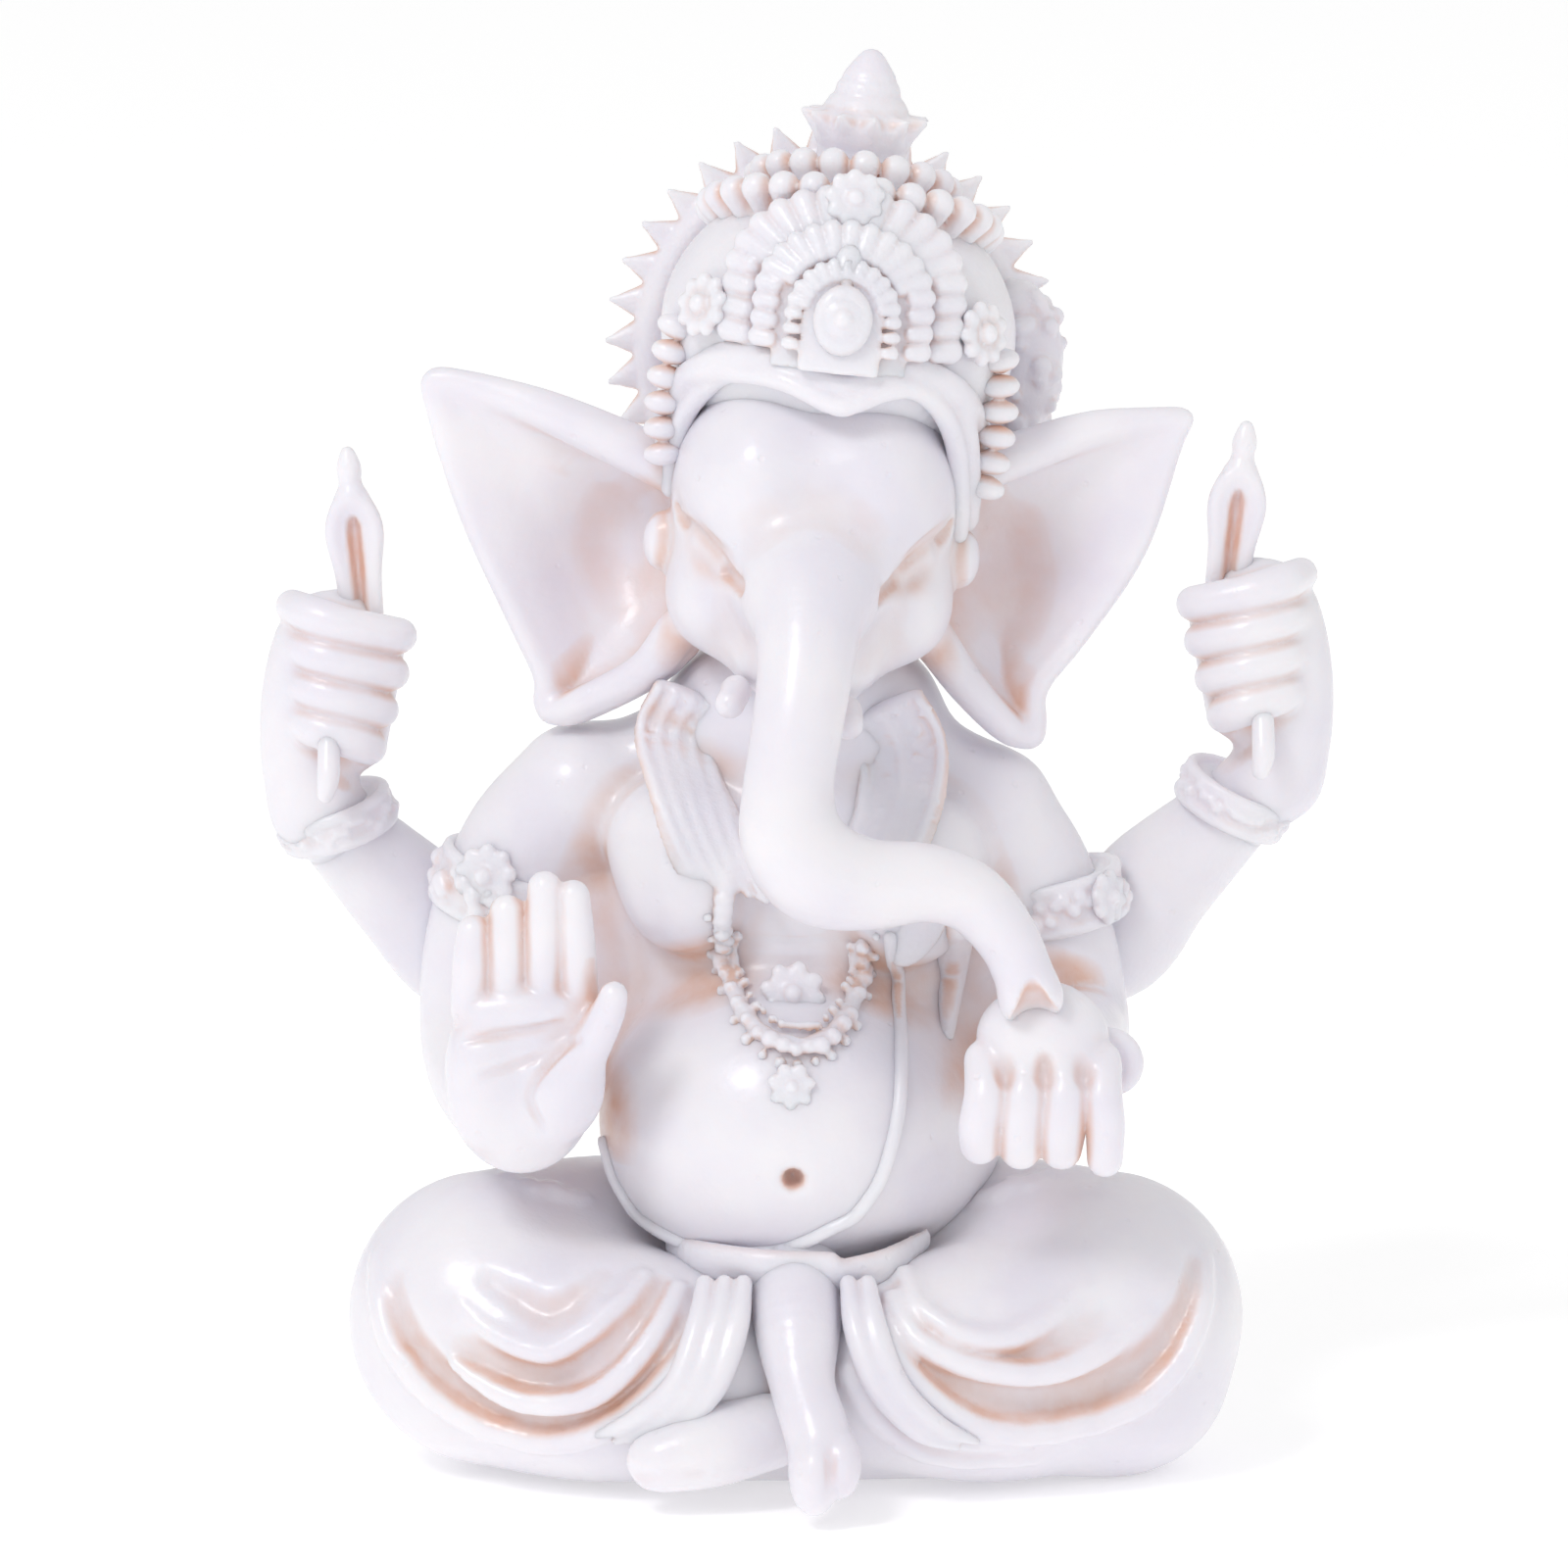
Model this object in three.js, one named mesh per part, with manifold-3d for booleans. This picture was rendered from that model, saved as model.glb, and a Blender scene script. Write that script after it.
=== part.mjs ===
// A small seated Ganesha figure, about 97 mm tall, built as separate closed solids.
// Millimetres. +X is the viewer's right, -Y is the front, +Z is up. The origin is the middle of the base.
// The figure's own right side is on -X: a name that says "right" lies there.

import * as THREE from "three";
import { mergeVertices } from "three/addons/utils/BufferGeometryUtils.js";
import Module from "manifold-3d";

const wasm = await Module();
wasm.setup();

// ---------------------------------------------------------------- driving dimensions

const GAP = 0.3; // air between two neighbouring pieces
const SIDES = 9; // facets round a limb
const BEAD_SIDES = 6; // facets round a bead
const DEG = Math.PI / 180;

const NECK = [0.5, 1, 52]; // the head and the ears turn about this point
const HEAD_ROLL = 6 * DEG; // the head leans towards the figure's left
const EAR_ROLL = 2.2 * DEG;

const BELLY = { at: [-0.8, -3, 24], r: [13, 12.6, 10.6] };
const CHEST = { at: [0, 1, 39], r: [13.2, 8.2, 10.5] };
const BREAST = { x: 8.3, y: -3.6, z: 40, r: [5.4, 5, 5.6] };
const SKULL = { at: [0, -2, 65], r: [9.9, 10, 11] };
const DOME = { at: [-0.3, 0.5, 77.5], r: [12, 11, 10.2] };
const HALO = { x: -0.5, y: 9.6, z: 75.4, r: 13.9, tooth: 1.5, teeth: 34, thick: 1.8 };

// ---------------------------------------------------------------- solids from three.js geometry

// A closed three.js geometry as a solid, with its shared vertices merged.
function solidOf(geometry) {
  const bare = new THREE.BufferGeometry();
  bare.setAttribute("position", geometry.getAttribute("position"));
  if (geometry.index) bare.setIndex(geometry.index);
  const merged = mergeVertices(bare, 1e-4);
  const corners = merged.index.array;
  const kept = [];
  for (let i = 0; i < corners.length; i += 3) {
    const [a, b, c] = corners.slice(i, i + 3);
    if (a !== b && b !== c && a !== c) kept.push(a, b, c);
  }
  return new wasm.Manifold(
    new wasm.Mesh({
      numProp: 3,
      vertProperties: merged.attributes.position.array,
      triVerts: new Uint32Array(kept),
    }),
  );
}

function geometryOf(solid) {
  const mesh = solid.getMesh();
  const points = new Float32Array(mesh.numVert * 3);
  for (let i = 0; i < mesh.numVert; i++) {
    points.set(mesh.vertProperties.subarray(i * mesh.numProp, i * mesh.numProp + 3), i * 3);
  }
  const geometry = new THREE.BufferGeometry();
  geometry.setAttribute("position", new THREE.BufferAttribute(points, 3));
  geometry.setIndex(new THREE.BufferAttribute(mesh.triVerts, 1));
  return geometry;
}

// A shape is a function of the margin it is grown by, so that a neighbour can be cut to clear it.
const join = (...shapes) => (grow) => shapes.map((s) => s(grow)).reduce((a, b) => a.add(b));
const less = (shape, ...tools) => (grow) => tools.reduce((a, t) => a.subtract(t(0)), shape(grow));
const moved = (shape, matrix) => (grow) => shape(grow).transform(matrix.elements);
const mirrored = (shape) => (grow) => shape(grow).mirror([1, 0, 0]);

// An ellipsoid, or with one radius a ball.
function blob(at, r, { turn = [0, 0, 0], sides = 12 } = {}) {
  return (grow) => {
    const [rx, ry, rz] = Array.isArray(r) ? r : [r, r, r];
    const g = new THREE.SphereGeometry(1, sides, Math.round(sides * 0.6));
    g.scale(rx + grow, rz + grow, ry + grow);
    g.rotateX(Math.PI / 2);
    g.applyMatrix4(new THREE.Matrix4().makeRotationFromEuler(new THREE.Euler(...turn)));
    g.translate(...at);
    return solidOf(g);
  };
}

// A round-ended tube through stations [x, y, z, radius].
function limb(stations, { sides = SIDES, steps = 6, caps = 2 } = {}) {
  return (grow) => {
    const points = stations.map(([x, y, z]) => new THREE.Vector3(x, y, z));
    const curve = new THREE.CatmullRomCurve3(points, false, "centripetal");
    const frames = curve.computeFrenetFrames(steps, false);
    const g = new THREE.CapsuleGeometry(1, steps, caps, sides, steps);
    const p = g.getAttribute("position");
    for (let i = 0; i < p.count; i++) {
      const along = Math.min(steps, Math.max(0, p.getY(i) + steps / 2));
      const past = p.getY(i) + steps / 2 - along;
      const k = Math.round(along);
      const t = curve.getUtoTmapping(k / steps) * (stations.length - 1);
      const j = Math.min(stations.length - 2, Math.floor(t));
      const r = grow + THREE.MathUtils.lerp(stations[j][3], stations[j + 1][3], t - j);
      const v = curve.getPointAt(k / steps);
      v.addScaledVector(frames.normals[k], p.getX(i) * r);
      v.addScaledVector(frames.binormals[k], -p.getZ(i) * r);
      v.addScaledVector(frames.tangents[k], past * r);
      p.setXYZ(i, v.x, v.y, v.z);
    }
    const made = solidOf(g);
    if (made.volume() > 0) return made;
    throw new Error("a limb came out inside out");
  };
}

// A flat plate in the XZ plane, from an outline of [x, z] points, front face at y.
function plate(outline, y, thick) {
  return (grow) => {
    const shape = new THREE.Shape(outline.map(([x, z]) => new THREE.Vector2(x, z)));
    const g = new THREE.ExtrudeGeometry(shape, {
      depth: thick,
      bevelEnabled: grow > 0,
      bevelThickness: grow,
      bevelSize: grow,
      bevelSegments: 1,
    });
    g.rotateX(Math.PI / 2);
    g.translate(0, y + thick, 0);
    return solidOf(g);
  };
}

// A turned piece about a vertical axis through [x, y], from a profile of [radius, z] points, bottom first.
function turned(profile, x, y, sides = 12) {
  return (grow) => {
    const points = profile.map(([r, z], i) => {
      const end = i === 0 ? -grow : i === profile.length - 1 ? grow : 0;
      return new THREE.Vector2(r > 0 ? r + grow : 0, z + end);
    });
    const g = new THREE.LatheGeometry(points, sides);
    g.rotateX(Math.PI / 2);
    g.translate(x, y, 0);
    return solidOf(g);
  };
}

// A ring bead: a torus about an axis direction.
function ring(at, axis, radius, wire, sides = 12) {
  return (grow) => {
    const g = new THREE.TorusGeometry(radius, wire + grow, 5, sides);
    const along = new THREE.Vector3(...axis).normalize();
    g.applyQuaternion(new THREE.Quaternion().setFromUnitVectors(new THREE.Vector3(0, 0, 1), along));
    g.translate(...at);
    return solidOf(g);
  };
}

// A lobed outline: a circle of radius r about [x, z] whose edge swells `lobes` times by `depth`.
function lobed(x, z, r, lobes, depth, from = 0, to = 2 * Math.PI) {
  const steps = Math.round((lobes * 2 * (to - from)) / (2 * Math.PI));
  const whole = to - from > 6.28;
  const outline = [];
  for (let i = 0; i < steps + (whole ? 0 : 1); i++) {
    const a = from + ((to - from) * i) / steps;
    const q = r + (i % 2 ? depth : 0);
    outline.push([x + q * Math.cos(a), z + q * Math.sin(a)]);
  }
  return outline;
}

// Everything below the surface that the figure stands on.
const underground = () => solidOf(new THREE.BoxGeometry(200, 200, 60).translate(0, 0, -30));

// The foremost y of some ellipsoids at x and z.
function frontOf(ellipsoids, x, z) {
  const found = ellipsoids.map(({ at, r }) => {
    const k = 1 - ((x - at[0]) / r[0]) ** 2 - ((z - at[2]) / r[2]) ** 2;
    return k > 0 ? at[1] - r[1] * Math.sqrt(k) : Infinity;
  });
  return Math.min(...found);
}

// ---------------------------------------------------------------- the group and its nodes

const figure = new THREE.Group();
const resin = { color: 0xf1ebea, roughness: 0.38, metalness: 0 };
const smooth = new THREE.MeshStandardMaterial(resin);
const textured = new THREE.MeshStandardMaterial({ ...resin, color: 0xeee6e2, roughness: 0.6 });

const aboutNeck = (roll) =>
  new THREE.Matrix4()
    .makeTranslation(...NECK)
    .multiply(new THREE.Matrix4().makeRotationY(roll))
    .multiply(new THREE.Matrix4().makeTranslation(-NECK[0], -NECK[1], -NECK[2]));
const headMatrix = aboutNeck(HEAD_ROLL);
const earMatrix = aboutNeck(EAR_ROLL);
const headShift = new THREE.Matrix4().makeTranslation(NECK[0], 0, 0);
const onHead = (shape) => moved(moved(shape, headShift), headMatrix);
const onEars = (shape) => moved(moved(shape, headShift), earMatrix);

const headGroup = new THREE.Group();
headGroup.position.set(...NECK);
headGroup.rotation.y = HEAD_ROLL;
figure.add(headGroup);
const bodyGroup = new THREE.Group();
figure.add(bodyGroup);
figure.updateMatrixWorld(true);

const placed = []; // the grown shapes of the pieces so far, which later pieces clear

// Adds one named mesh. A later piece is cut back wherever it would come within GAP of an earlier one.
function node(name, shape, { material = smooth, group = bodyGroup } = {}) {
  const whole = placed.reduce((a, grown) => a.subtract(grown), shape(0));
  const clear = whole.subtract(underground());
  const bodies = clear.decompose().sort((a, b) => b.volume() - a.volume());
  const geometry = geometryOf(bodies[0]);
  geometry.applyMatrix4(group.matrixWorld.clone().invert());
  geometry.computeBoundingBox();
  const centre = geometry.boundingBox.getCenter(new THREE.Vector3());
  geometry.translate(-centre.x, -centre.y, -centre.z);
  const mesh = new THREE.Mesh(geometry, material);
  mesh.name = name;
  mesh.position.copy(centre);
  group.add(mesh);
  placed.push(shape(GAP));
}

// ---------------------------------------------------------------- lower body

node("seat", blob([0, 1.6, 6.4], [24, 15, 9.4], { sides: 16 }));

function foldedLeg(side) {
  const thigh = limb(
    [
      [8 * side, 3, 11, 8],
      [15 * side, 0, 11.2, 9],
      [21 * side, -4, 10.8, 9],
    ],
    { sides: 12, steps: 4, caps: 3 },
  );
  const shin = limb(
    [
      [20.4 * side, -5.6, 9.2, 8.9],
      [13 * side, -9.6, 8.4, 8.2],
      [7.5 * side, -11.5, 8, 7],
    ],
    { sides: 12, steps: 4, caps: 3 },
  );
  const hem = limb(
    [
      [29 * side, -8, 13.6, 0.8],
      [26.5 * side, -12.2, 8.4, 0.9],
      [22.6 * side, -15.4, 5.6, 0.9],
      [16.6 * side, -17.4, 4.6, 0.9],
      [10.4 * side, -17.8, 6.6, 0.9],
    ],
    { sides: 6, steps: 8, caps: 1 },
  );
  return join(thigh, shin, hem);
}
node("dhoti_leg_right", foldedLeg(-1));
node("dhoti_leg_left", foldedLeg(1));

// ---------------------------------------------------------------- torso

const navel = blob([-0.2, BELLY.at[1] - BELLY.r[1], 22.2], [0.9, 1.6, 0.9], { sides: 8 });
const torso = less(
  join(
    blob(BELLY.at, BELLY.r, { sides: 16 }),
    blob(CHEST.at, CHEST.r, { sides: 14 }),
    blob([-BREAST.x, BREAST.y, BREAST.z], BREAST.r),
    blob([BREAST.x, BREAST.y, BREAST.z - 1.5], BREAST.r),
    blob([0, 4, 28], [13, 9, 14], { sides: 14 }),
    blob([-14.8, 2.2, 43.6], [6, 5.6, 6]),
    blob([14.2, 2.2, 42.2], [6, 5.6, 6]),
    blob([0, 1.5, 47.5], [10, 6.5, 5]),
  ),
  navel,
);
node("torso", torso);

// ---------------------------------------------------------------- head, with what is fixed to it

node("head", onHead(join(
  blob(SKULL.at, SKULL.r, { sides: 16 }),
  blob([0, -3, 58.5], [8.4, 8, 6]),
)), { group: headGroup });

// The trunk hangs over the chest, swings to the figure's left, and its tip lies on the left hand.
node("trunk", limb(
  [
    [0.9, -12.6, 64, 4.4],
    [0.7, -16.8, 59, 3.6],
    [0.1, -19.2, 54, 3.2],
    [-0.5, -20.2, 49, 3.1],
    [0.5, -20.5, 44.9, 3.5],
    [4.4, -20.2, 43, 3.3],
    [9, -19.6, 42.8, 2.8],
    [12.5, -19, 41, 2.6],
    [14.6, -18.6, 37.9, 2.3],
    [15.4, -18.4, 35.2, 2.2],
  ],
  { sides: 10, steps: 16, caps: 3 },
));

for (const [side, name] of [[-1, "right"], [1, "left"]]) {
  node(`tusk_${name}`, onHead(limb(
    [
      [4.7 * side, -13, 54.3, 1.3],
      [5 * side, -15.2, 52.3, 0.9],
    ],
    { sides: 8, steps: 2 },
  )), { group: headGroup });
}

const EAR_OUTLINE = [
  [9, 68.6],
  [12, 70.6],
  [19, 73],
  [25.6, 73.6],
  [25.2, 70.5],
  [23.2, 64.5],
  [20, 58],
  [17.8, 53.8],
  [17.8, 50.8],
  [16, 49.8],
  [12.5, 51.2],
  [8.2, 54.8],
  [8.6, 60],
];
const earHollow = blob([17, -3.4, 62.6], [5.6, 4.4, 9.6], { turn: [0, 18 * DEG, 0] });
const ear = less(plate(EAR_OUTLINE, -1.2, 3.8), earHollow);
node("ear_right", onEars(mirrored(ear)));
node("ear_left", onEars(ear));

// ---------------------------------------------------------------- crown

const crown = { group: headGroup };
node("crown_dome", onHead(blob(DOME.at, DOME.r, { sides: 16 })), crown);

// The band rolls round the brow and dips to a point in the middle.
node("crown_band", onHead(limb(
  [
    [-9.8, -2, 65.5, 1],
    [-9.2, -6, 70, 1.3],
    [-6.2, -10.2, 73.4, 1.3],
    [0, -12, 72.2, 1.4],
    [6.2, -10.2, 73.4, 1.3],
    [9.2, -6, 70, 1.3],
    [9.8, -2, 65.5, 1],
  ],
  { sides: 8, steps: 14 },
)), crown);

// Three fans of petals stand one before the other on the dome's front, with a round jewel in the middle.
const FAN = { base: 75, y: -13.7, step: 1.3, thick: 1.1, lean: 12 * DEG };
const leanBack = (shape) => {
  const there = new THREE.Matrix4().makeTranslation(0, 0, FAN.base);
  const back = new THREE.Matrix4().makeTranslation(0, 0, -FAN.base);
  return moved(shape, there.multiply(new THREE.Matrix4().makeRotationX(-FAN.lean)).multiply(back));
};
const fan = (row, r, lobes, depth) =>
  leanBack(plate(lobed(0, FAN.base, r, lobes, depth, 0, Math.PI), FAN.y + FAN.step * row, FAN.thick));
node("crown_jewel", onHead(leanBack(blob([0, FAN.y - 1, FAN.base + 2.6], [1.9, 0.8, 2.3]))), crown);
node("crown_fan_inner", onHead(fan(0, 4, 14, 0.6)), crown);
node("crown_fan_middle", onHead(fan(1, 6.2, 20, 0.7)), crown);
node("crown_fan_outer", onHead(fan(2, 8.6, 26, 0.8)), crown);

for (const [side, name] of [[-1, "right"], [1, "left"]]) {
  const flower = plate(lobed(0, 0, 2.2, 8, 0.8), -0.8, 1.6);
  const turn = new THREE.Matrix4()
    .makeTranslation(9 * side, -7.6, 78.6)
    .multiply(new THREE.Matrix4().makeRotationZ(42 * DEG * side));
  node(`crown_rosette_${name}`, onHead(moved(flower, turn)), crown);

  const beads = [0, 1, 2, 3, 4].map((i) =>
    blob([(11.6 - 0.2 * i) * side, -3.6, 75.6 - 1.6 * i], 1.15, { sides: BEAD_SIDES }));
  node(`temple_beads_${name}`, onHead(join(...beads)), crown);
}

node("crown_tier_lower", onHead(turned([[0, 85.4], [8.6, 85.4], [8.6, 87.4], [0, 87.4]], 0, 0.5, 16)), crown);
node("crown_tier_upper", onHead(turned([[0, 87.8], [5.8, 87.8], [5.8, 89.2], [0, 89.2]], 0, 1, 16)), crown);
node("crown_finial", onHead(turned(
  [[0, 89.5], [2.8, 89.5], [2.7, 90.4], [4.2, 92.2], [3, 93], [2.5, 94.4], [1.1, 96.4], [0, 96.9]],
  0, 1.2, 12,
)), crown);
node("crown_bun", onHead(blob([10.6, 8, 73], [4.4, 4.4, 5])), crown);
node("halo", onHead(plate(lobed(HALO.x, HALO.z, HALO.r, HALO.teeth, HALO.tooth), HALO.y, HALO.thick)), crown);

// ---------------------------------------------------------------- front arms

// The right hand is raised, palm forward.
node("front_right_upper_arm", limb(
  [[-18.2, 2.4, 41.5, 4.4], [-20.6, 3, 35.5, 4.3], [-21.8, 3.2, 29.6, 3.9]], { steps: 4 },
));
node("front_right_forearm", limb(
  [[-21.8, 2.6, 28, 3.7], [-20.4, -4, 25.8, 3.5], [-18.4, -11, 26, 3]], { steps: 4 },
));
const FINGERS_UP = [ // x, z of the tip
  [-21.4, 39.6],
  [-19, 41.2],
  [-16.4, 42.6],
  [-14.1, 42],
];
const fingersUp = FINGERS_UP.map(([x, z]) =>
  limb([[x * 0.96 - 0.7, -14.2, 33, 1.45], [x, -14.6, 38, 1.25], [x, -14, z, 1.05]],
    { sides: 7, steps: 2 }));
node("front_right_hand", join(
  blob([-18, -14, 29.6], [5.4, 2.6, 6.2]),
  limb([[-14.4, -15, 28.5, 2], [-12.6, -16.3, 32.2, 1.5], [-12, -16.8, 35.4, 1]], { sides: 8, steps: 3 }),
  ...fingersUp,
));
node("front_right_armlet", ring([-19.6, 2.8, 39.4], [-0.33, 0.1, -1], 4.9, 0.9));

// The left hand droops over the knee and meets the tip of the trunk.
node("front_left_upper_arm", limb(
  [[17.4, 2.4, 40, 4.2], [19, 2.8, 35, 4], [19.6, 2.8, 30, 3.7]], { steps: 4 },
));
node("front_left_forearm", limb(
  [[19.6, 2, 28.6, 3.5], [19, -4.6, 29.4, 3.2], [17.4, -11.5, 30.6, 2.8]], { steps: 4 },
));
const FINGERS_DOWN = [ // x, z of the tip
  [12.4, 25.4],
  [14.9, 24.8],
  [17.7, 24.6],
  [20.5, 24],
];
const fingersDown = FINGERS_DOWN.map(([x, z]) =>
  limb([[x, -18.6, 29.6, 1.5], [x, -19.2, 27, 1.5], [x, -18.2, z, 1.4]], { sides: 7, steps: 2 }));
node("front_left_hand", join(blob([16.6, -16.4, 31.2], [4.4, 3.6, 3.6]), ...fingersDown));
node("front_left_armlet", ring([17.9, 2.6, 38.6], [0.22, 0.05, -1], 4.7, 0.9));
node("front_left_bracelet", ring([21, -12.6, 29.7], [0.2, 1, 0.1], 1.6, 0.9, 12));

// ---------------------------------------------------------------- rear arms, with what they hold

function rearArm(name, { shoulder, elbow, wrist, cuff, cuffAxis, fist, lean, tip, nooseShift }) {
  const half = (a, b, k) => a.map((v, i) => v + (b[i] - v) * k);
  node(`rear_${name}_upper_arm`, limb([[...shoulder, 4.6], [...half(shoulder, elbow, 0.6), 4.6], [...elbow, 4.6]],
    { steps: 4 }));
  node(`rear_${name}_forearm`, limb([[...half(elbow, wrist, 0.1), 4.6], [...half(elbow, wrist, 0.6), 4], [...wrist, 3.3]],
    { steps: 4 }));
  node(`rear_${name}_hand`, join(
    blob(fist, [4.9, 3.9, 6.9], { turn: [0, lean, 0] }),
    limb([[...half(wrist, fist, 0.25), 3], [...half(wrist, fist, 0.8), 3.6]], { steps: 2 }),
  ));
  node(`rear_${name}_bracelet`, ring(cuff, cuffAxis, 3.9, 0.9));
  // The noose is a closed loop with a bud on top. Its handle comes out under the fist.
  const outline = [
    [-1.6, 6], [-1.5, 8.6], [-2.3, 11.4], [-1.9, 13], [-0.9, 13.8], [-0.8, 15.2], [0, 16],
    [0.8, 15.2], [0.9, 13.8], [1.9, 13], [2.3, 11.4], [1.5, 8.6], [1.6, 6],
  ];
  const matrix = new THREE.Matrix4()
    .makeTranslation(fist[0] + nooseShift, fist[1], fist[2])
    .multiply(new THREE.Matrix4().makeRotationY(tip));
  node(`rear_${name}_noose`, moved(plate(outline, -1.1, 2.2), matrix));
  node(`rear_${name}_noose_handle`, moved(
    limb([[0, -3.4, -3.6, 0.6], [-0.2, -3.6, -6.8, 0.6]], { sides: 8, steps: 2 }), matrix,
  ));
}
rearArm("right", {
  shoulder: [-12, 7.5, 41],
  elbow: [-20, 9, 33.6],
  wrist: [-30.6, 5.4, 41.6],
  cuff: [-31.4, 5, 42.9],
  cuffAxis: [-0.33, -0.15, 0.94],
  fist: [-31.4, 3.2, 52.4],
  lean: 4 * DEG,
  tip: 1 * DEG,
  nooseShift: 0.7,
});
rearArm("left", {
  shoulder: [12, 7.5, 40],
  elbow: [18.6, 9, 33.8],
  wrist: [29.2, 5.4, 43],
  cuff: [29.9, 5, 44.3],
  cuffAxis: [0.45, -0.15, 0.88],
  fist: [31.3, 3.2, 54.6],
  lean: -6 * DEG,
  tip: 3 * DEG,
  nooseShift: -1.2,
});

// ---------------------------------------------------------------- feet and cloth

node("waist_sash", limb(
  [[-9.5, -12.6, 13.4, 1.6], [-3, -15.4, 12.9, 1.7], [2, -15.6, 12.8, 1.7], [7.4, -13.6, 13.8, 1.7]],
  { steps: 6 },
), { material: textured });
node("foot_front", limb(
  [[-0.8, -15, 12, 3], [0, -18.6, 8.8, 3.1], [1.1, -21.6, 5.4, 2.9], [1.8, -22.6, 4, 2.6]],
  { sides: 10, steps: 4, caps: 3 },
));
node("foot_side", limb(
  [[-3.2, -17.2, 5, 2.8], [-6.2, -18.4, 4.3, 2.9], [-8.8, -19, 3.8, 2.3]], { steps: 3, caps: 3 },
));
for (const [side, name] of [[-1, "right"], [1, "left"]]) {
  node(`dhoti_pleats_${name}`, join(...[0, 1, 2].map((i) => limb(
    [
      [(4.2 + 1.2 * i) * side, -16.4, 12.4, 1.1],
      [(5.4 + 1.7 * i) * side, -18, 9, 1.3],
      [(8.6 + 1.7 * i) * side, -18.6, 5.6 + 0.5 * i, 1.1],
    ],
    { sides: 6, steps: 3 },
  ))));
}

// ---------------------------------------------------------------- ornaments on the torso

const TORSO_FRONT = [BELLY, CHEST, { at: [0, 4, 28], r: [13, 9, 14] }];
const onTorso = (x, z, lift, r) => [x, frontOf(TORSO_FRONT, x, z) - lift, z, r];

// The sacred thread falls from the left shoulder and loops under the navel to the right hip.
node("sacred_thread", limb(
  [
    onTorso(6.4, 34, 0.5, 0.75),
    onTorso(6.9, 30, 0.5, 0.75),
    onTorso(6.8, 26, 0.5, 0.75),
    onTorso(5, 21, 0.6, 0.75),
    onTorso(1, 17.7, 0.7, 0.75),
    onTorso(-4, 16.6, 0.8, 0.75),
    onTorso(-8, 17.4, 0.8, 0.75),
  ],
  { sides: 6, steps: 12 },
));
node("garland", limb(
  [
    onTorso(-4.6, 38, 0.6, 1.2),
    onTorso(-4.2, 34, 0.6, 1.1),
    onTorso(-2.6, 31.6, 0.7, 1.1),
    onTorso(0.4, 31, 0.7, 1.1),
    onTorso(3, 31.8, 0.7, 1.1),
    onTorso(4.6, 34.4, 0.6, 1.1),
  ],
  { sides: 7, steps: 8 },
), { material: textured });
node("garland_pendant", blob(onTorso(0.2, 28.4, 0.4, 0).slice(0, 3), [1.9, 1.2, 2]), { material: textured });
node("necklace_pendant", blob(onTorso(0.2, 35, 0.5, 0).slice(0, 3), [1.7, 1.4, 1.8]), { material: textured });
for (const [side, name] of [[-1, "right"], [1, "left"]]) {
  node(`stole_${name}`, limb(
    [
      [7.6 * side + 0.4, -3.5, 50.5, 2.4],
      [6.6 * side + 0.3, -7, 47, 2.6],
      [5.6 * side + 0.2, -8.8, 43, 2.4],
      [4.8 * side, -9.2, 39.6, 1.8],
    ],
    { sides: 8, steps: 5 },
  ), { material: textured });
}

export default figure;
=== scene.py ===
"""The looks of a small seated Ganesha figure, cast in one satin, slightly translucent white resin.

Every piece is sculpted here as clay: a block of space that holds a signed distance at each grid point,
to which rounded shapes are softly added and from which others are softly cut. The block's zero surface
becomes the mesh. Lengths are in figure units: the frame's height is HEIGHT of them, about 1 mm each.
+X is the viewer's right, -Y the front and +Z up, from the middle of the base.
"""

import math

import bpy
import numpy as np
import openvdb
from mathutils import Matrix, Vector


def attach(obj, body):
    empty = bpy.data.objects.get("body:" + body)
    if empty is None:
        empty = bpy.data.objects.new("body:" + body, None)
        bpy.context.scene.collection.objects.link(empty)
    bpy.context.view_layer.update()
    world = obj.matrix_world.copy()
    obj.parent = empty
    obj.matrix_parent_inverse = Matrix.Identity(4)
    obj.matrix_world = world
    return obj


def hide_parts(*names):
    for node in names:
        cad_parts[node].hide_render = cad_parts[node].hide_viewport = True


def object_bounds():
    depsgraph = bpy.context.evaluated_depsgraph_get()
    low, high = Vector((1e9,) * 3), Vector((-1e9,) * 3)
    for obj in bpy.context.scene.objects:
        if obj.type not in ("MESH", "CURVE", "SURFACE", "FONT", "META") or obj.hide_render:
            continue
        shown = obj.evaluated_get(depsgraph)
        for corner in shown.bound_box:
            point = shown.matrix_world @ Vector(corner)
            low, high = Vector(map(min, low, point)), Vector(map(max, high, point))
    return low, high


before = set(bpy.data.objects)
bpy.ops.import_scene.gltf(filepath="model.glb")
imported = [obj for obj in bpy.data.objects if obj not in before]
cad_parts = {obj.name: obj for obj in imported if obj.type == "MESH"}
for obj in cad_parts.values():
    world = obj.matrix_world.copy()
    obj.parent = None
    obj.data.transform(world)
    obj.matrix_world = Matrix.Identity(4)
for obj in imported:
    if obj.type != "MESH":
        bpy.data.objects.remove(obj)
cad_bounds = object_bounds()

# --- driving dimensions

HEIGHT = 96.65  # figure units from the base to the tip of the crown
LOW, HIGH = (np.array(corner, float) for corner in cad_bounds)
UNIT = float(HIGH[2] - LOW[2]) / HEIGHT  # metres in one figure unit

FAR = 6.0  # the distance stored well away from a surface
RIM = 1.2  # how far round a shape its distance is worked out
COARSE = 1.0  # quick tries use a wider grid
BODY_STEP = 0.36 * COARSE  # grid spacing for limbs and torso
FINE_STEP = 0.23 * COARSE  # grid spacing for hands and ornaments
HEAD_STEP = 0.28 * COARSE

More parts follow.
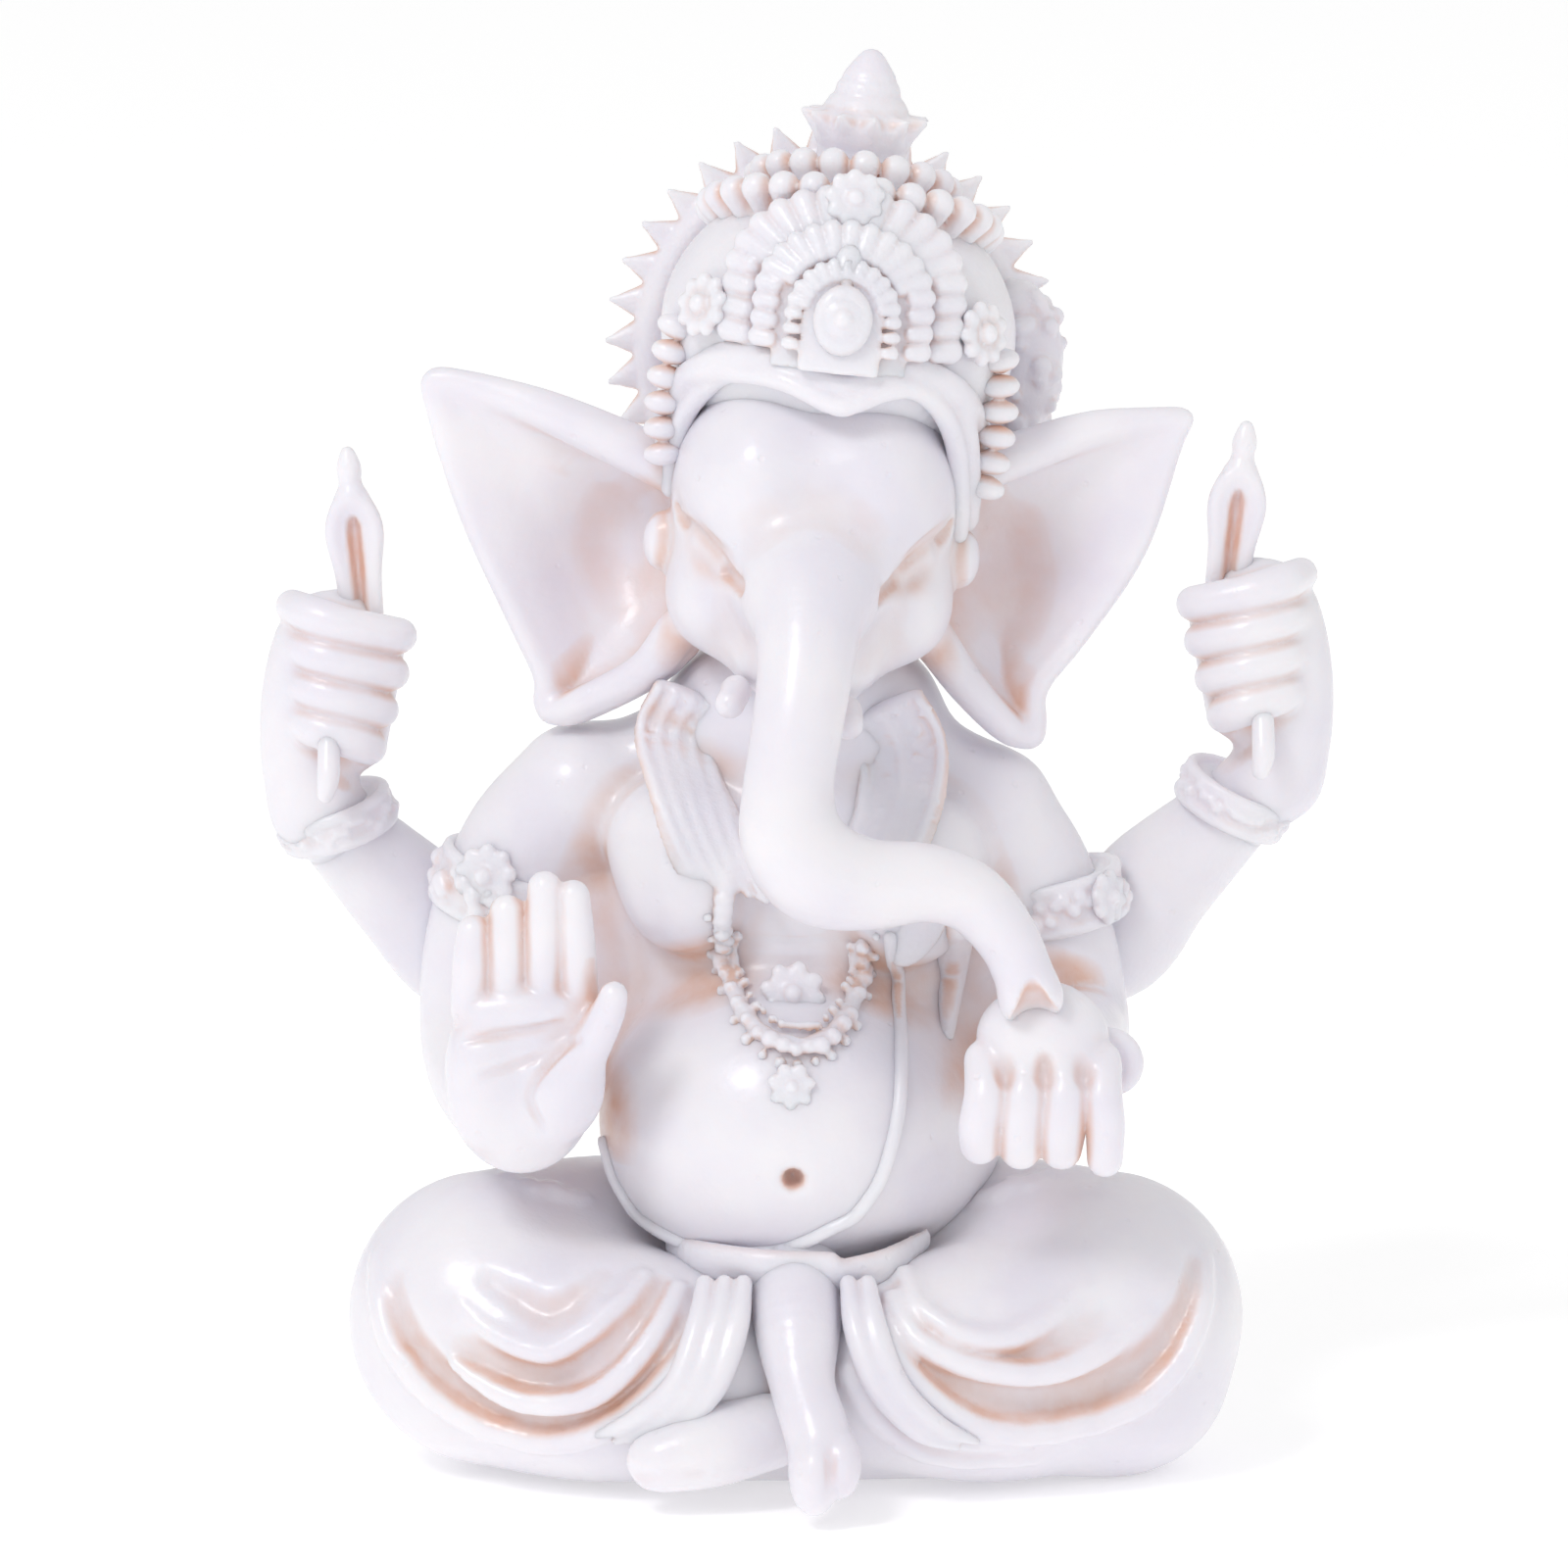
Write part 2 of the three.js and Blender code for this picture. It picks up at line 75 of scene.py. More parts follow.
NECK = np.array([0.5, 1.0, 52.0])  # the head and the ears turn about this point
FACE_ROLL = 3.5  # degrees by which each part of the head leans to the figure's left
EAR_ROLL = 2.2
CROWN_ROLL = 6.0
SIDES = ((-1, "right"), (1, "left"))  # the figure's own right is at -X


# --- shapes


class Shape:
    """A solid with a box round it. Either a distance function, or parts joined with a softness."""

    def __init__(self, low, high, distance=None, parts=(), soft=0.0):
        self.low = np.asarray(low, float)
        self.high = np.asarray(high, float)
        self.distance = distance
        self.parts = parts
        self.soft = soft


def unit(vector):
    vector = np.asarray(vector, float)
    return vector / np.linalg.norm(vector)


def turning(x=0.0, y=0.0, z=0.0):
    """The rotation matrix for angles in degrees about X, then Y, then Z."""
    result = np.eye(3)
    for axis, angle in enumerate((x, y, z)):
        c, s = math.cos(math.radians(angle)), math.sin(math.radians(angle))
        i, j = [(1, 2), (2, 0), (0, 1)][axis]
        step = np.eye(3)
        step[i, i] = step[j, j] = c
        step[i, j] = -s
        step[j, i] = s
        result = step @ result
    return result


def soft_min(a, b, soft):
    if soft <= 0:
        return np.minimum(a, b)
    h = np.maximum(soft - np.abs(a - b), 0) / soft
    return np.minimum(a, b) - h * h * (soft / 4)


def egg(at, radii, axes=None):
    """An ellipsoid. The rows of axes are the directions of its radii."""
    at = np.asarray(at, float)
    radii = np.asarray(radii, float) * np.ones(3)
    axes = np.eye(3) if axes is None else np.asarray(axes, float)
    reach = np.sqrt(((axes * radii[:, None]) ** 2).sum(0))

    def distance(x, y, z):
        x, y, z = x - at[0], y - at[1], z - at[2]
        near = 0.0
        slope = 0.0
        for axis, radius in zip(axes.astype(np.float32), radii):
            along = (x * axis[0] + y * axis[1] + z * axis[2]) / np.float32(radius)
            square = along * along
            near = near + square
            slope = slope + square / np.float32(radius * radius)
        near = np.sqrt(near)
        return near * (near - 1) / np.sqrt(slope + 1e-9)

    return Shape(at - reach, at + reach, distance)


def petal(base, tip, width, thick, face):
    """An egg from base to tip, width across and thick along the direction that it faces."""
    base, tip = np.asarray(base, float), np.asarray(tip, float)
    along = unit(tip - base)
    side = unit(np.cross(face, along))
    facing = np.cross(along, side)
    radii = (np.linalg.norm(tip - base) / 2, width / 2, thick / 2)
    return egg((base + tip) / 2, radii, [along, side, facing])


def bone(a, b):
    """A round-ended rod from (x, y, z, radius) to (x, y, z, radius)."""
    a, b = np.asarray(a, float), np.asarray(b, float)
    start, run = a[:3], b[:3] - a[:3]
    length = max(float(run @ run), 1e-9)
    grow = b[3] - a[3]

    def distance(x, y, z):
        x, y, z = x - start[0], y - start[1], z - start[2]
        t = np.clip((x * run[0] + y * run[1] + z * run[2]) / length, 0, 1)
        dx, dy, dz = x - t * run[0], y - t * run[1], z - t * run[2]
        return np.sqrt(dx * dx + dy * dy + dz * dz) - (a[3] + t * grow)

    low = np.minimum(a[:3] - a[3], b[:3] - b[3])
    high = np.maximum(a[:3] + a[3], b[:3] + b[3])
    return Shape(low, high, distance)


def slat(a, b, side, wide, thick):
    """A rod from a to b with a flat oval section, wide along side and thick across it (both radii)."""
    a, b = np.asarray(a, float), np.asarray(b, float)
    run = b - a
    length = max(float(run @ run), 1e-9)
    side = unit(np.asarray(side, float) - run * (np.dot(side, run) / length))
    squash = thick / wide

    def distance(x, y, z):
        x, y, z = x - a[0], y - a[1], z - a[2]
        t = np.clip((x * run[0] + y * run[1] + z * run[2]) / length, 0, 1)
        dx, dy, dz = x - t * run[0], y - t * run[1], z - t * run[2]
        u = dx * side[0] + dy * side[1] + dz * side[2]
        square = dx * dx + dy * dy + dz * dz
        return np.sqrt(np.maximum(square - u * u * (1 - squash * squash), 0)) - thick

    reach = max(wide, thick)
    return Shape(np.minimum(a, b) - reach, np.maximum(a, b) + reach, distance)


def ring(at, axis, radius, wire, flat=1.0):
    """A torus about an axis. flat stretches its section along the axis."""
    at, axis = np.asarray(at, float), unit(axis)

    def distance(x, y, z):
        x, y, z = x - at[0], y - at[1], z - at[2]
        up = x * axis[0] + y * axis[1] + z * axis[2]
        out = np.sqrt(np.maximum(x * x + y * y + z * z - up * up, 0)) - radius
        return np.sqrt(out * out + (up / flat) ** 2) - wire

    reach = (radius + wire) * np.sqrt(np.maximum(1 - axis**2, 0)) + wire * flat
    return Shape(at - reach, at + reach, distance)


def drum(at, axis, radius, half, round_edge=0.3):
    """A round plate about an axis, 2 * half thick, with a rounded edge."""
    at, axis = np.asarray(at, float), unit(axis)

    def distance(x, y, z):
        x, y, z = x - at[0], y - at[1], z - at[2]
        up = x * axis[0] + y * axis[1] + z * axis[2]
        out = np.sqrt(np.maximum(x * x + y * y + z * z - up * up, 0))
        a = out - (radius - round_edge)
        b = np.abs(up) - (half - round_edge)
        beyond = np.sqrt(np.maximum(a, 0) ** 2 + np.maximum(b, 0) ** 2)
        return beyond + np.minimum(np.maximum(a, b), 0) - round_edge

    reach = radius * np.sqrt(np.maximum(1 - axis**2, 0)) + half
    return Shape(at - reach, at + reach, distance)


def group(*parts, soft=0.0):
    low = np.min([p.low for p in parts], axis=0)
    high = np.max([p.high for p in parts], axis=0)
    return Shape(low, high, parts=parts, soft=soft)


def smooth_path(stations, count):
    """Points along a smooth curve through the stations, whatever numbers each station holds."""
    s = np.asarray(stations, float)
    s = np.vstack([2 * s[0] - s[1], s, 2 * s[-1] - s[-2]])
    result = []
    for t in np.linspace(0, len(stations) - 1, count + 1):
        i = min(int(t), len(stations) - 2)
        f = t - i
        a, b, c, d = s[i : i + 4]
        turn = 2 * a - 5 * b + 4 * c - d
        swing = 3 * b - a - 3 * c + d
        result.append(0.5 * (2 * b + (c - a) * f + turn * f * f + swing * f * f * f))
    return np.array(result)


def spokes(count, start=0.0):
    """The cosine and sine of directions spaced evenly round a circle."""
    for i in range(count):
        angle = 2 * math.pi * (i + start) / count
        yield math.cos(angle), math.sin(angle)


def mirrored_box(side, low, high):
    """The corners of a box that is given for the +X side."""
    low, high = np.array(low, float) * (side, 1, 1), np.array(high, float) * (side, 1, 1)
    return np.minimum(low, high), np.maximum(low, high)


def tube(stations, count=0):
    """A round rod along a smooth curve through stations of (x, y, z, radius)."""
    path = smooth_path(stations, count or 6 * (len(stations) - 1))
    return group(*[bone(a, b) for a, b in zip(path[:-1], path[1:])])


def strap(stations, side, count=0):
    """A flat rod along a smooth curve through stations of (x, y, z, half width, half thickness)."""
    path = smooth_path(stations, count or 6 * (len(stations) - 1))
    middles = [(a, b, (a + b) / 2) for a, b in zip(path[:-1], path[1:])]
    return group(*[slat(a[:3], b[:3], side, mid[3], mid[4]) for a, b, mid in middles])


# --- clay


class Clay:
    """A block of space in which a piece is sculpted."""

    def __init__(self, low, high, step):
        self.low = np.asarray(low, float)
        self.step = step
        counts = np.ceil((np.asarray(high, float) - self.low) / step).astype(int) + 1
        self.axes = [(low + step * np.arange(n)).astype(np.float32) for low, n in zip(self.low, counts)]
        self.value = np.full(counts, FAR, np.float32)

    def window(self, low, high, within=None):
        """The index range of the block, or of a part of it, that holds a box."""
        first = np.floor((np.asarray(low) - self.low) / self.step).astype(int)
        last = np.ceil((np.asarray(high) - self.low) / self.step).astype(int) + 1
        inside = within or [(0, n) for n in self.value.shape]
        starts = [max(a, int(f)) for (a, _), f in zip(inside, first)]
        return [(start, max(start, min(b, int(l)))) for start, (_, b), l in zip(starts, inside, last)]

    def measure(self, shape, span):
        """The shape's distance at each grid point of an index range."""
        if shape.distance:
            x, y, z = (axis[a:b] for axis, (a, b) in zip(self.axes, span))
            found = shape.distance(x[:, None, None], y[None, :, None], z[None, None, :])
            return np.broadcast_to(found, [b - a for a, b in span]).astype(np.float32)
        result = np.full([b - a for a, b in span], FAR, np.float32)
        for part in shape.parts:
            pad = RIM + shape.soft
            inner = self.window(part.low - pad, part.high + pad, span)
            if all(b > a for a, b in inner):
                place = tuple(slice(a - o, b - o) for (a, b), (o, _) in zip(inner, span))
                result[place] = soft_min(result[place], self.measure(part, inner), shape.soft)
        return result

    def change(self, shape, soft, rule):
        pad = RIM + soft
        span = self.window(shape.low - pad, shape.high + pad)
        if all(b > a for a, b in span):
            place = tuple(slice(a, b) for a, b in span)
            self.value[place] = rule(self.value[place], self.measure(shape, span))

    def add(self, *shapes, soft=0.0):
        for shape in shapes:
            self.change(shape, soft, lambda old, new: soft_min(old, new, soft))

    def cut(self, *shapes, soft=0.0):
        for shape in shapes:
            self.change(shape, soft, lambda old, new: -soft_min(-old, new, soft))

    def trim_below(self, z):
        """Cuts the piece off flat at a height."""
        floor = (z - self.axes[2])[None, None, :]
        self.value = np.maximum(self.value, floor)

    def at(self, points):
        """The distance at any points, read between the grid points."""
        p = (np.asarray(points, float) - self.low) / self.step
        top = np.array(self.value.shape) - 2
        i = np.clip(np.floor(p).astype(int), 0, top)
        f = np.clip(p - i, 0, 1)
        total = 0.0
        for corner in np.ndindex(2, 2, 2):
            weight = np.prod(np.where(corner, f, 1 - f), axis=-1)
            j = i + corner
            total = total + weight * self.value[j[..., 0], j[..., 1], j[..., 2]]
        return total

    def slope(self, points):
        """The outward direction of the surface at any points."""
        points = np.asarray(points, float)
        e = self.step
        sides = [self.at(points + e * way) - self.at(points - e * way) for way in np.eye(3)]
        result = np.stack(sides, axis=-1)
        return result / (np.linalg.norm(result, axis=-1, keepdims=True) + 1e-9)

    def front(self, x, z, behind=False):
        """The foremost or hindmost y of the solid at x and z, or of the nearest spot if none is there."""
        i, k = (
            int(np.clip(round((v - self.low[n]) / self.step), 0, self.value.shape[n] - 1))
            for v, n in ((x, 0), (z, 2))
        )
        column = self.value[i, :, k]
        solid = np.flatnonzero(column < 0)
        j = solid[-1 if behind else 0] if len(solid) else column.argmin()
        return float(self.axes[1][j])

    def draped(self, points, lift=0.0, behind=False):
        """Stations on the front or back for points of (x, z, radius), lifted along the slope there."""
        places = np.array([(x, self.front(x, z, behind), z) for x, z, *_ in points])
        raised = places + (lift - self.at(places))[:, None] * self.slope(places)
        return [tuple(p) + tuple(rest) for p, (_, _, *rest) in zip(raised, points)]

    def ridge(self, points, lift, soft, behind=False):
        """Adds a cord that lies along the front or back."""
        self.add(tube(self.draped(points, lift, behind)), soft=soft)

    def groove(self, points, lift, soft, behind=False):
        """Cuts a groove along the front or back."""
        self.cut(tube(self.draped(points, lift, behind)), soft=soft)


def mesh_of(clay, name):
    """The clay's surface as a mesh object in the row frame."""
    grid = openvdb.FloatGrid(FAR)
    grid.copyFromArray(clay.value)
    points, quads = grid.convertToQuads(0.0)
    points = clay.low + clay.step * np.asarray(points, float)
    quads = np.asarray(quads, np.int32)
    corners = points[quads]
    normal = np.cross(corners[:, 2] - corners[:, 0], corners[:, 3] - corners[:, 1])
    if np.einsum("ij,ij->", corners[:, 0], normal) < 0:
        quads = quads[:, ::-1]
    mesh = bpy.data.meshes.new(name)
    mesh.vertices.add(len(points))
    mesh.vertices.foreach_set("co", (points * UNIT).astype(np.float32).ravel())
    mesh.loops.add(quads.size)
    mesh.loops.foreach_set("vertex_index", quads.ravel())
    mesh.polygons.add(len(quads))
    mesh.polygons.foreach_set("loop_start", np.arange(0, quads.size, 4, dtype=np.int32))
    mesh.update(calc_edges=True)
    mesh.validate()
    mesh.shade_smooth()
    # the crease attribute says where shade is painted into the colour, more deeply in creases and hollows
    crease = mesh.attributes.new("crease", "FLOAT", "POINT")
    crease.data.foreach_set("value", crease_shade_mask(clay, points).astype(np.float32))
    piece = bpy.data.objects.new(name, mesh)
    bpy.context.scene.collection.objects.link(piece)
    return piece


# The mask for painted shade: the resin's colour is darkened and warmed by it.
def crease_shade_mask(clay, points):
    """0 in the open and towards 1 in a crease, from how soon another wall is met outwards.

    A narrow crease counts in full and a wide hollow by its average over several reaches.
    """
    slope = clay.slope(points)
    top = clay.low + clay.step * (np.array(clay.value.shape) - 1)

    def met(reach):
        probe = points + reach * slope
        within = np.all((probe > clay.low) & (probe < top), axis=1)
        return np.where(within, np.clip(1 - clay.at(probe) / reach, 0, 1), 0)

    wide = np.mean([met(reach) for reach in (2, 2.8, 3.6, 4.4, 5.2)], axis=0)
    return np.maximum(met(1.4), np.minimum(1.3 * wide, 1))


def finish_piece(piece, nodes, material):
    """The piece rides on the one body, stands for its CAD nodes and takes its finish."""
    piece.data.materials.append(material)
    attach(piece, "root")
    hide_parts(*nodes)
    return piece


def moved(shape, turn, shift):
    """The shape turned by a matrix and then shifted."""
    ends = np.array([shape.low, shape.high])
    corners = np.array([[ends[i, 0], ends[j, 1], ends[k, 2]] for i, j, k in np.ndindex(2, 2, 2)])
    corners = corners @ turn.T + shift
    low, high = corners.min(0), corners.max(0)
    if shape.parts:
        parts = [moved(part, turn, shift) for part in shape.parts]
        return Shape(low, high, parts=parts, soft=shape.soft)
    back = turn.T.astype(np.float32)

    def distance(x, y, z):
        x, y, z = x - np.float32(shift[0]), y - np.float32(shift[1]), z - np.float32(shift[2])
        return shape.distance(*(row[0] * x + row[1] * y + row[2] * z for row in back))

    return Shape(low, high, distance)


def about_neck(roll, across):
    """How a shape made upright about x = 0 is placed on the neck with a sideways roll."""
    turn = turning(y=roll)
    pivot = NECK + (across, 0, 0)
    shift = pivot - turn @ (pivot * (0, 1, 1))
    return lambda shape: moved(shape, turn, shift)


on_face = about_neck(FACE_ROLL, -0.1)
on_ears = about_neck(EAR_ROLL, 0.0)
on_crown = about_neck(CROWN_ROLL, 0.0)


# --- legs and cloth


def sculpt_lower_body():
    """Seat and crossed legs under a dhoti, whose folds sweep from the waist round each knee."""
    clay = Clay((-32, -22, -1), (32, 19, 23), BODY_STEP)
    clay.add(egg((0, 2, 6.6), (24.5, 15, 9.6)))
    clay.add(egg((0, 7, 12), (14, 9.5, 9)), soft=4)
    for side, _ in SIDES:
        thigh = tube([(7 * side, 4, 12, 8), (14.5 * side, 0.5, 11.6, 8.8), (21 * side, -4, 11.2, 9.1)])
        shin = tube([(20.6 * side, -5.4, 9.6, 9), (13 * side, -9.4, 8.6, 8.3), (6.5 * side, -11, 8.2, 6.6)])
        clay.add(group(thigh, shin, soft=2.5), soft=2.5)
    clay.add(egg((21.5, -3.4, 5.4), (7.4, 9.4, 5.8)), soft=2)
    for side, name in SIDES:
        fold_cloth(clay, side, FOLDS[name])
    for height, sag in ((16.5, 3.2), (14.5, 4.6), (12, 5.6), (8.6, 5)):
        swag = [(x, height - sag * (1 - (x / 19) ** 2), 0.75) for x in range(-18, 19, 4)]
        clay.ridge(swag, -0.25, 1.2, behind=True)
    clay.trim_below(0)
    return clay


def fold_cloth(clay, side, folds):
    """Sweeping folds: ribs at the height of the plain cloth, with hollows cut between them."""

    def draped(line, lift):
        path = smooth_path([(x * side, z, r) for x, z, r in line], 5 * len(line))
        return tube(clay.draped(path, lift), 2 * len(path))

    ribs = [draped(rib, -0.1) for rib in folds["ribs"]]
    hollows = [draped(hollow, 0.2) for hollow in folds["hollows"]]
    for hollow in hollows:
        clay.cut(hollow, soft=1.2)
    for rib in ribs:
        clay.add(rib, soft=0.7)


FOLDS = {
    "right": {
        "hollows": [
            [(23.4, 11.2, 0.2), (20.9, 9.8, 1), (17, 8.8, 1.5), (13.2, 10.4, 1.3), (10.4, 12.9, 0.7),
            (9, 14.8, 0.2)],
            [(27, 14.6, 0.2), (26.3, 11.2, 0.9), (23.4, 8, 1.1), (19, 6, 1), (14.6, 6.1, 1),
            (10.8, 8.6, 0.9), (7.6, 12.4, 0.2)],
            [(20.5, 14.8, 0.2), (16.6, 13.2, 0.9), (12.8, 15.4, 0.2)],
        ],
        "ribs": [
            [(22.6, 13.4, 0.2), (20.3, 11.6, 0.6), (16.4, 10.7, 0.8), (12.5, 13.2, 0.7), (10.2, 15.2, 0.5)],
            [(22.9, 9.4, 0.3), (20.6, 8, 0.7), (17.7, 7.2, 0.85), (13.8, 7.8, 0.85), (10.5, 10.6, 0.8),
            (7.9, 14.4, 0.6)],
            [(28.4, 15.4, 0.3), (27.8, 11.4, 0.8), (24.8, 7.3, 0.9), (20.3, 4.8, 0.9),
             (15.7, 4.5, 0.9), (11.2, 6.6, 0.9), (7.3, 10.6, 0.8), (5, 14.2, 0.6)],
            [(19.6, 20.2, 0.3), (16.8, 19.4, 0.7), (14.4, 18.8, 0.5)],
        ],
    },
    "left": {
        "hollows": [
            [(26.8, 15.4, 0.2), (26, 12.2, 0.9), (23.4, 9.2, 1.3), (19.4, 7.7, 1.5), (14.8, 7.5, 1.5),
            (10.6, 8.7, 1.2), (7.4, 11, 0.6), (5.9, 13.4, 0.2)],
            [(20.6, 12.9, 0.2), (16.4, 10.7, 0.7), (12.2, 10.7, 0.7), (8.8, 12.2, 0.5), (7, 14.4, 0.2)],
            [(14.4, 4.6, 0.2), (9.4, 6.9, 0.6), (6.6, 9.6, 0.5), (4.9, 12.2, 0.2)],
        ],
        "ribs": [
            [(19.4, 14.4, 0.2), (15.5, 12.1, 0.7), (12.2, 11.6, 0.75), (8.6, 13.2, 0.7), (7.3, 15.2, 0.6)],
            [(23.4, 12.4, 0.3), (20.7, 10.6, 0.8), (16.8, 9.3, 0.85), (12.2, 9.8, 0.85), (8.3, 11.4, 0.8),
            (6.4, 13.9, 0.6)],
            [(27.6, 15.6, 0.3), (27.4, 12.8, 0.7), (25.9, 9.4, 0.85), (22.6, 6.4, 0.9), (17.4, 5.2, 0.9),
             (12.2, 5.8, 0.85), (7.7, 9.3, 0.8), (5.1, 13.2, 0.6)],
            [(14.6, 3.9, 0.2), (9.6, 5.2, 0.65), (5.7, 8.6, 0.75), (4.4, 11.2, 0.7)],
            [(16.1, 2.8, 0.2), (9.6, 3.4, 0.65), (5.7, 5.8, 0.7), (3.4, 9.3, 0.6)],
            [(17.6, 20.2, 0.3), (15, 19.4, 0.65), (12.6, 18.6, 0.5)],
        ],
    },
}


def sculpt_pleats(side):
    """Gathered cloth that falls from the waist between the legs."""
    clay = Clay(*mirrored_box(side, (2, -23, 1), (16, -12, 18)), FINE_STEP)
    for i in range(3 if side < 0 else 2):
        x = 3.5 + 1.3 * i
        clay.add(tube([
            (x * side, -14.8, 15, 0.6),
            ((x + 0.5) * side, -17.1, 12.4, 0.85),
            ((x + 1.9) * side, -18.6, 8.9, 0.9),
            ((x + 4.6) * side, -18.6, 5.8 + 0.4 * i, 0.7),
            ((x + 7.2) * side, -17.6, 4.5 + 0.4 * i, 0.35),
        ]), soft=0.35)
    return clay


def sculpt_front_foot():
    clay = Clay((-7, -28, 0), (8, -10, 19), FINE_STEP)
    clay.add(tube([(0, -11.4, 15, 3), (0.1, -15.4, 12.2, 2.9), (0.4, -18.4, 9, 2.2), (1.3, -20.6, 6.4, 2.2),
        (1.9, -21.9, 4.4, 2.2)]))
    clay.add(egg((1.2, -22.8, 3.4), (1.6, 2, 2.4)), soft=1)
    clay.add(egg((3.1, -22.2, 4.3), (1.2, 2, 2.2)), soft=0.5)
    clay.cut(bone((2.3, -25, 2, 0.25), (2.2, -23.9, 6, 0.15)), soft=0.6)
    return clay


def sculpt_side_foot():
    clay = Clay((-14, -24, 0), (2, -12, 9), FINE_STEP)
    clay.add(tube([(-2, -16.4, 5.2, 2.6), (-5.6, -18, 4.6, 2.75), (-8.4, -18.8, 4, 2.3),
        (-9.3, -18.9, 3.8, 2)]))
    clay.cut(tube([(-11.4, -19.6, 2.6, 0.3), (-9, -21.2, 2.9, 0.3), (-6.4, -20.8, 3.2, 0.2)]), soft=0.8)
    return clay


def sculpt_sash():
    """The waist cloth under the belly, in two lengths that meet at a step."""
    clay = Clay((-13, -18, 10), (14, -4, 22), FINE_STEP)
    up = (0, -0.3, 1)
    clay.add(strap([(-8.4, -8, 16, 0.9, 0.4), (-6, -11.4, 15.9, 1.3, 0.8), (-2, -13.5, 15.7, 1.45, 0.9),
        (2.3, -13.8, 15.6, 1.45, 0.9)], up))
    clay.add(strap([(2.9, -13.7, 15.1, 1.4, 0.7), (6, -12, 15.6, 1.3, 0.7), (8.8, -8.2, 16.6, 0.8, 0.3)],
        up), soft=0.2)
    return clay


# --- torso and front arms


def sculpt_torso():
    clay = Clay((-28, -19, 10), (27, 15, 56), BODY_STEP)
    clay.add(egg((-0.6, -2.8, 24), (12.8, 12.8, 11)))
    clay.add(egg((4.6, 0.5, 23), (9.6, 11, 9.6)), soft=1.5)
    clay.add(egg((0, 4, 27), (13, 9.2, 15)), soft=3)
    clay.add(egg((0, 1.4, 39.5), (12.4, 8, 10.5)), soft=3)
    clay.add(tube([(-13.5, 2.2, 46, 3.6), (-6, 1.6, 49.4, 3.6), (0.5, 1, 51, 4.6), (7, 1.6, 48.6, 3.6),
        (13.4, 2.2, 44.8, 3.6)]), soft=3)
    clay.add(egg((0.5, 1.8, 51.5), (9.4, 6.5, 6)), soft=2)
    clay.add(egg((-14.4, 3.6, 34), (4.6, 4.6, 10)), soft=2.5)
    clay.add(egg((14, 3.6, 33), (4.6, 4.6, 9.6)), soft=2.5)
    for side, _ in SIDES:
        drop = 0 if side < 0 else 1
        breast = group(
            egg((8 * side, -2.4, 43 - drop), (4.9, 5, 4.6)),
            egg((7.3 * side, -4.6, 39.6 - drop), (4.2, 4.4, 3.9)),
            soft=2.5,
        )
        clay.add(breast, soft=1)
    right_arm = tube([
        (-14.6, 2.2, 45.4, 5), (-18.4, 2.6, 41.6, 4.6), (-20.8, 2.9, 35.6, 4.5), (-21.7, 2.6, 30, 4.1),
        (-21.4, 0.2, 27.2, 3.9), (-20.3, -5, 25.8, 3.5), (-18.6, -11.4, 25.4, 2.9),
    ], 40)
    left_arm = tube([
        (12.9, 2.2, 43.6, 4.9), (15.9, 2.5, 40, 4.3), (17.9, 2.8, 35.2, 4), (18.9, 2.6, 31, 3.8),
        (19.2, 0, 29.2, 3.6), (18.9, -5, 29.8, 3.2), (17.4, -11.5, 31.2, 2.7),
    ], 40)
    clay.add(right_arm, left_arm, soft=1.4)
    spine = [(0.2, 19, 0.6), (0, 26, 1.3), (0, 34, 1.4), (0.2, 41, 1.1), (0.3, 46, 0.4)]
    clay.groove(spine, 0.7, 2, behind=True)
    for side, _ in SIDES:
        blade = [(4.6 * side, 44.5, 0.3), (6.2 * side, 40, 0.9), (9 * side, 37, 0.4)]
        clay.groove(blade, 0.5, 2, behind=True)
    navel = (-0.2, clay.front(-0.2, 22.2), 22.2)
    clay.cut(egg(navel, (0.72, 1.9, 0.72)), soft=0.6)
    return clay


# --- ornaments on the torso


def sculpt_thread(torso):
    """The sacred thread falls from the left shoulder and loops under the navel to the right hip."""
    line = [(6.4, 37.5, 0.5), (6.8, 33.5, 0.5), (6.9, 29, 0.5), (6.5, 25, 0.5), (5, 21, 0.5),
        (2.4, 18.6, 0.5), (-1.6, 16.9, 0.5),
            (-6, 16.6, 0.5), (-9.6, 17.6, 0.5), (-12, 20, 0.45), (-12.9, 23, 0.4)]
    back = [(8.6, 47.4, 0.5), (5, 41.6, 0.5), (0.2, 35, 0.5), (-5, 28.4, 0.5), (-9.6, 23, 0.5),
        (-11.6, 20.6, 0.4)]
    clay = Clay((-15, -19, 14), (12, 17, 52), FINE_STEP)
    clay.add(tube(torso.draped(smooth_path(line, 24), 0.15), 60))
    clay.add(tube(torso.draped(smooth_path(back, 24), 0.15, behind=True), 60))
    return clay


def ribbed_band(clay, path, side, wide, thick, ribs, seed):
    """A strap with raised cords along it and specks of sand in the casting."""
    random = np.random.default_rng(seed)
    side = unit(side)
    clay.add(strap([(*p, wide, thick) for p in path], side))
    for place in np.linspace(-0.85, 0.85, ribs):
        line = [(*(np.asarray(p) + side * wide * place + (0, -thick * 0.8, 0)), 0.32) for p in path]
        clay.add(tube(line), soft=0.3)
    for p in smooth_path(path, 60):
        spot = p + random.uniform(-1, 1) * wide * side + (0, -thick, 0)
        clay.add(egg(spot, random.uniform(0.12, 0.26)), soft=0.15)


STOLES = {
    "right": dict(line=[(6.8, 52.6), (8, 49.8), (7, 46), (5.6, 42.6), (4.6, 40.6)], wide=2.9, ribs=5),
    "left": dict(line=[(5.6, 52), (7, 49.4), (7, 46), (5.6, 42)], wide=3.2, ribs=3),
}


